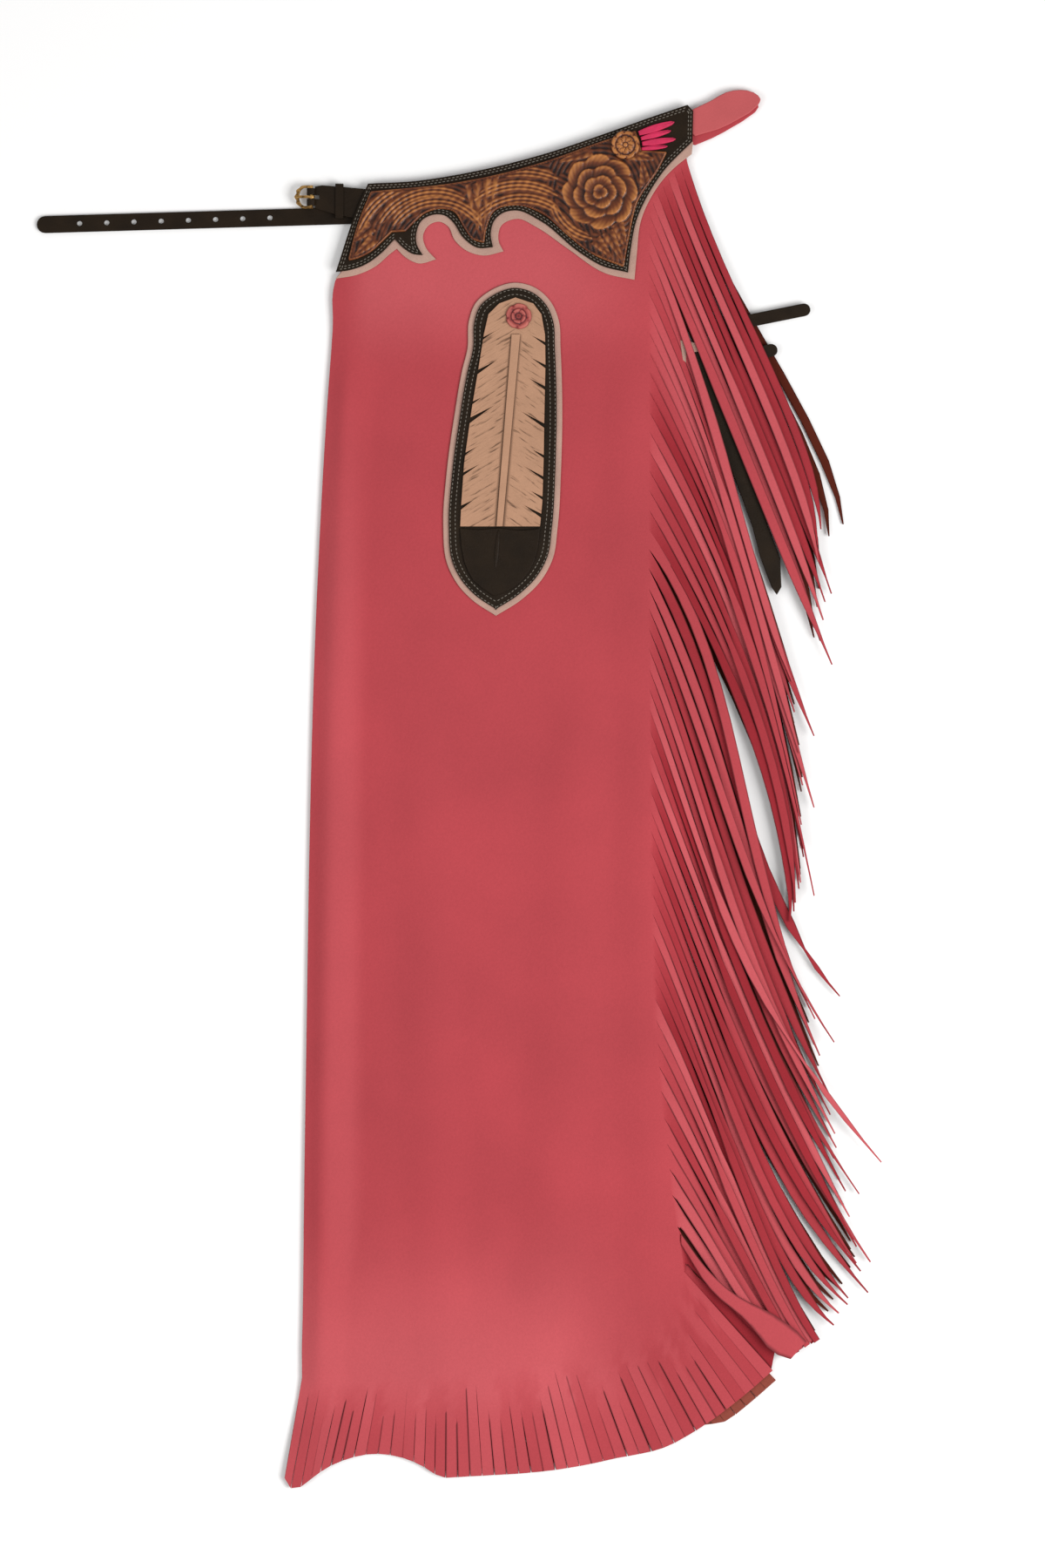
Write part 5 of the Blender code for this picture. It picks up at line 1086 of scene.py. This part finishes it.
# Painted shade beside the raised spine, stopping just below the rose.
shade_by_spine = eased(tree, off_spine, 0.0028, 0.0050, 0.75, 0.0, "LINEAR")
below_rose = eased(tree, at["Y"], 0.337, 0.341, 1.0, 0.0, "LINEAR")
burnt_and_shaded = sum_up(tree, "MAXIMUM", eased(tree, streaks, 0.55, 0.70, 0.0, 0.75),
                 sum_up(tree, "MULTIPLY", shade_by_spine, below_rose))
shader = tree.nodes["Principled BSDF"]
plain, grained = (shader.inputs[socket].links[0].from_socket for socket in ("Base Color", "Normal"))
scorched_and_shaded = add_node(tree, "ShaderNodeMix", {"Factor": burnt_and_shaded, 6: plain, 7: BURNT_AND_SHADE}, data_type="RGBA")
tree.links.new(scorched_and_shaded.outputs[2], shader.inputs["Base Color"])
cut_barbs = add_node(tree, "ShaderNodeBump", {
    "Height": streaks, "Strength": 0.5, "Distance": 0.0012, "Normal": grained})
tree.links.new(cut_barbs.outputs["Normal"], shader.inputs["Normal"])

PATCH_OUTLINE = (
    (41.5, 378.8), (24.2, 373.3), (12.3, 363.4), (7.4, 350), (6.4, 330), (2.3, 313), (-3.2, 281),
    (-9.4, 235), (-11.7, 198), (-8.6, 168.7), (-1, 154), (9.2, 142.9), (27.6, 130.5, "corner"),
    (47, 142.8), (62, 157.8), (70, 173), (73.6, 196), (76.2, 240), (77.1, 285), (75.8, 330),
    (74.4, 351), (68.9, 364), (57, 375),
)
PATCH_RIM, PATCH_LEATHER = 4.2, 1.3
RIDGE_PLACE, RIDGE_TURN, RIDGE_HALF_SIZE = (28.4, 180.0), -0.085, (1.7, 15.0, 0.9)
SURROUND_LEVEL = UNDERLAY_LEVEL + UNDERLAY_LEATHER + SEAM_GAP
FEATHER_LEVEL = SURROUND_LEVEL + PATCH_LEATHER + SEAM_GAP
patch_line = smooth(PATCH_OUTLINE, 6, True)
surround_line = closed_inside(patch_line, PATCH_RIM)[:-1]
layer("patch_tan_layer", "patch_underlay", patch_line, UNDERLAY_LEVEL, UNDERLAY_LEATHER, TAN)
layer("patch_black_layer", "patch_surround", surround_line, SURROUND_LEVEL, PATCH_LEATHER, BLACK)
sew("patch_stitching", surround_line, PATCH_ROWS, FEATHER_LEVEL - SEAM_GAP)
rounded("feather_barbs", "feather", 0.35, BARBED)
rounded("feather_spine", "feather_quill", 0.45, CREAM)
rounded("feather_dark_tip", "feather_tip", 0.4, BLACK)
ridge = bmesh.new()
bead(ridge, (*RIDGE_PLACE, FEATHER_LEVEL + PATCH_LEATHER), RIDGE_TURN, RIDGE_HALF_SIZE, 12, 16)
place_piece("tip_ridge", ridge, [BLACK])
ROSE_PROFILE = (                   # radius, height, depth of the stain
    (0, 0.9, 0.2), (1.2, 1.3, 0.5), (2.4, 0.7, 0.1), (3.4, 1.2, 0.6), (4.8, 1.5, 0.9), (5.6, 0.9, 0.15),
    (6.6, 1.2, 0.6), (8.4, 1.4, 0.9), (9.4, 1, 0.6), (9.5, 0, 0.4), (0, 0, 0),
)
SMALL_ROSE_CENTRE, SMALL_ROSE_LEVEL = (44.6, 353.4), 9.3
rosette("small_rose", "feather_rose", SMALL_ROSE_CENTRE, SMALL_ROSE_LEVEL, ROSE_PROFILE, 5, 0.5, ROSE)


# ----------------------------------------------------------
# Straps: two leg straps whose rounded ends show past the fringe, a third that hangs between two locks of it,
# and the scrap of suede that it is sewn to.

for number in (1, 2, 3):
    rounded(f"strap_end_{number}", f"leg_strap_{number}", 0.5, BLACK)
rounded("strap_suede", "leg_strap_3_end", 0.4, TAN)


# ----------------------------------------------------------
# Back strap: the billet with its eight holes, and the short strap that carries keeper, buckle and tongue.

BRASS, tree, shader = new_material("worn_brass", {"Metallic": 1.0, "Roughness": 0.35})
tarnish = mottled(tree, own_place(tree), 350.0, 4.0)
tint = ramp(tree, tarnish, ((0.35, (0.10, 0.05, 0.015)), (0.6, (0.62, 0.36, 0.12))))
tree.links.new(tint.outputs["Color"], shader.inputs["Base Color"])

rounded("billet_strap", "billet", 0.45, BLACK)
rounded("chape", "buckle_strap", 0.3, BLACK)
rounded("keeper_loop", "keeper", 0.3, BLACK)
rounded("frame_bow", "buckle_frame", 0.35, BRASS, "buckle")
rounded("tongue_blade", "buckle_tongue", 0.2, BRASS, "tongue")
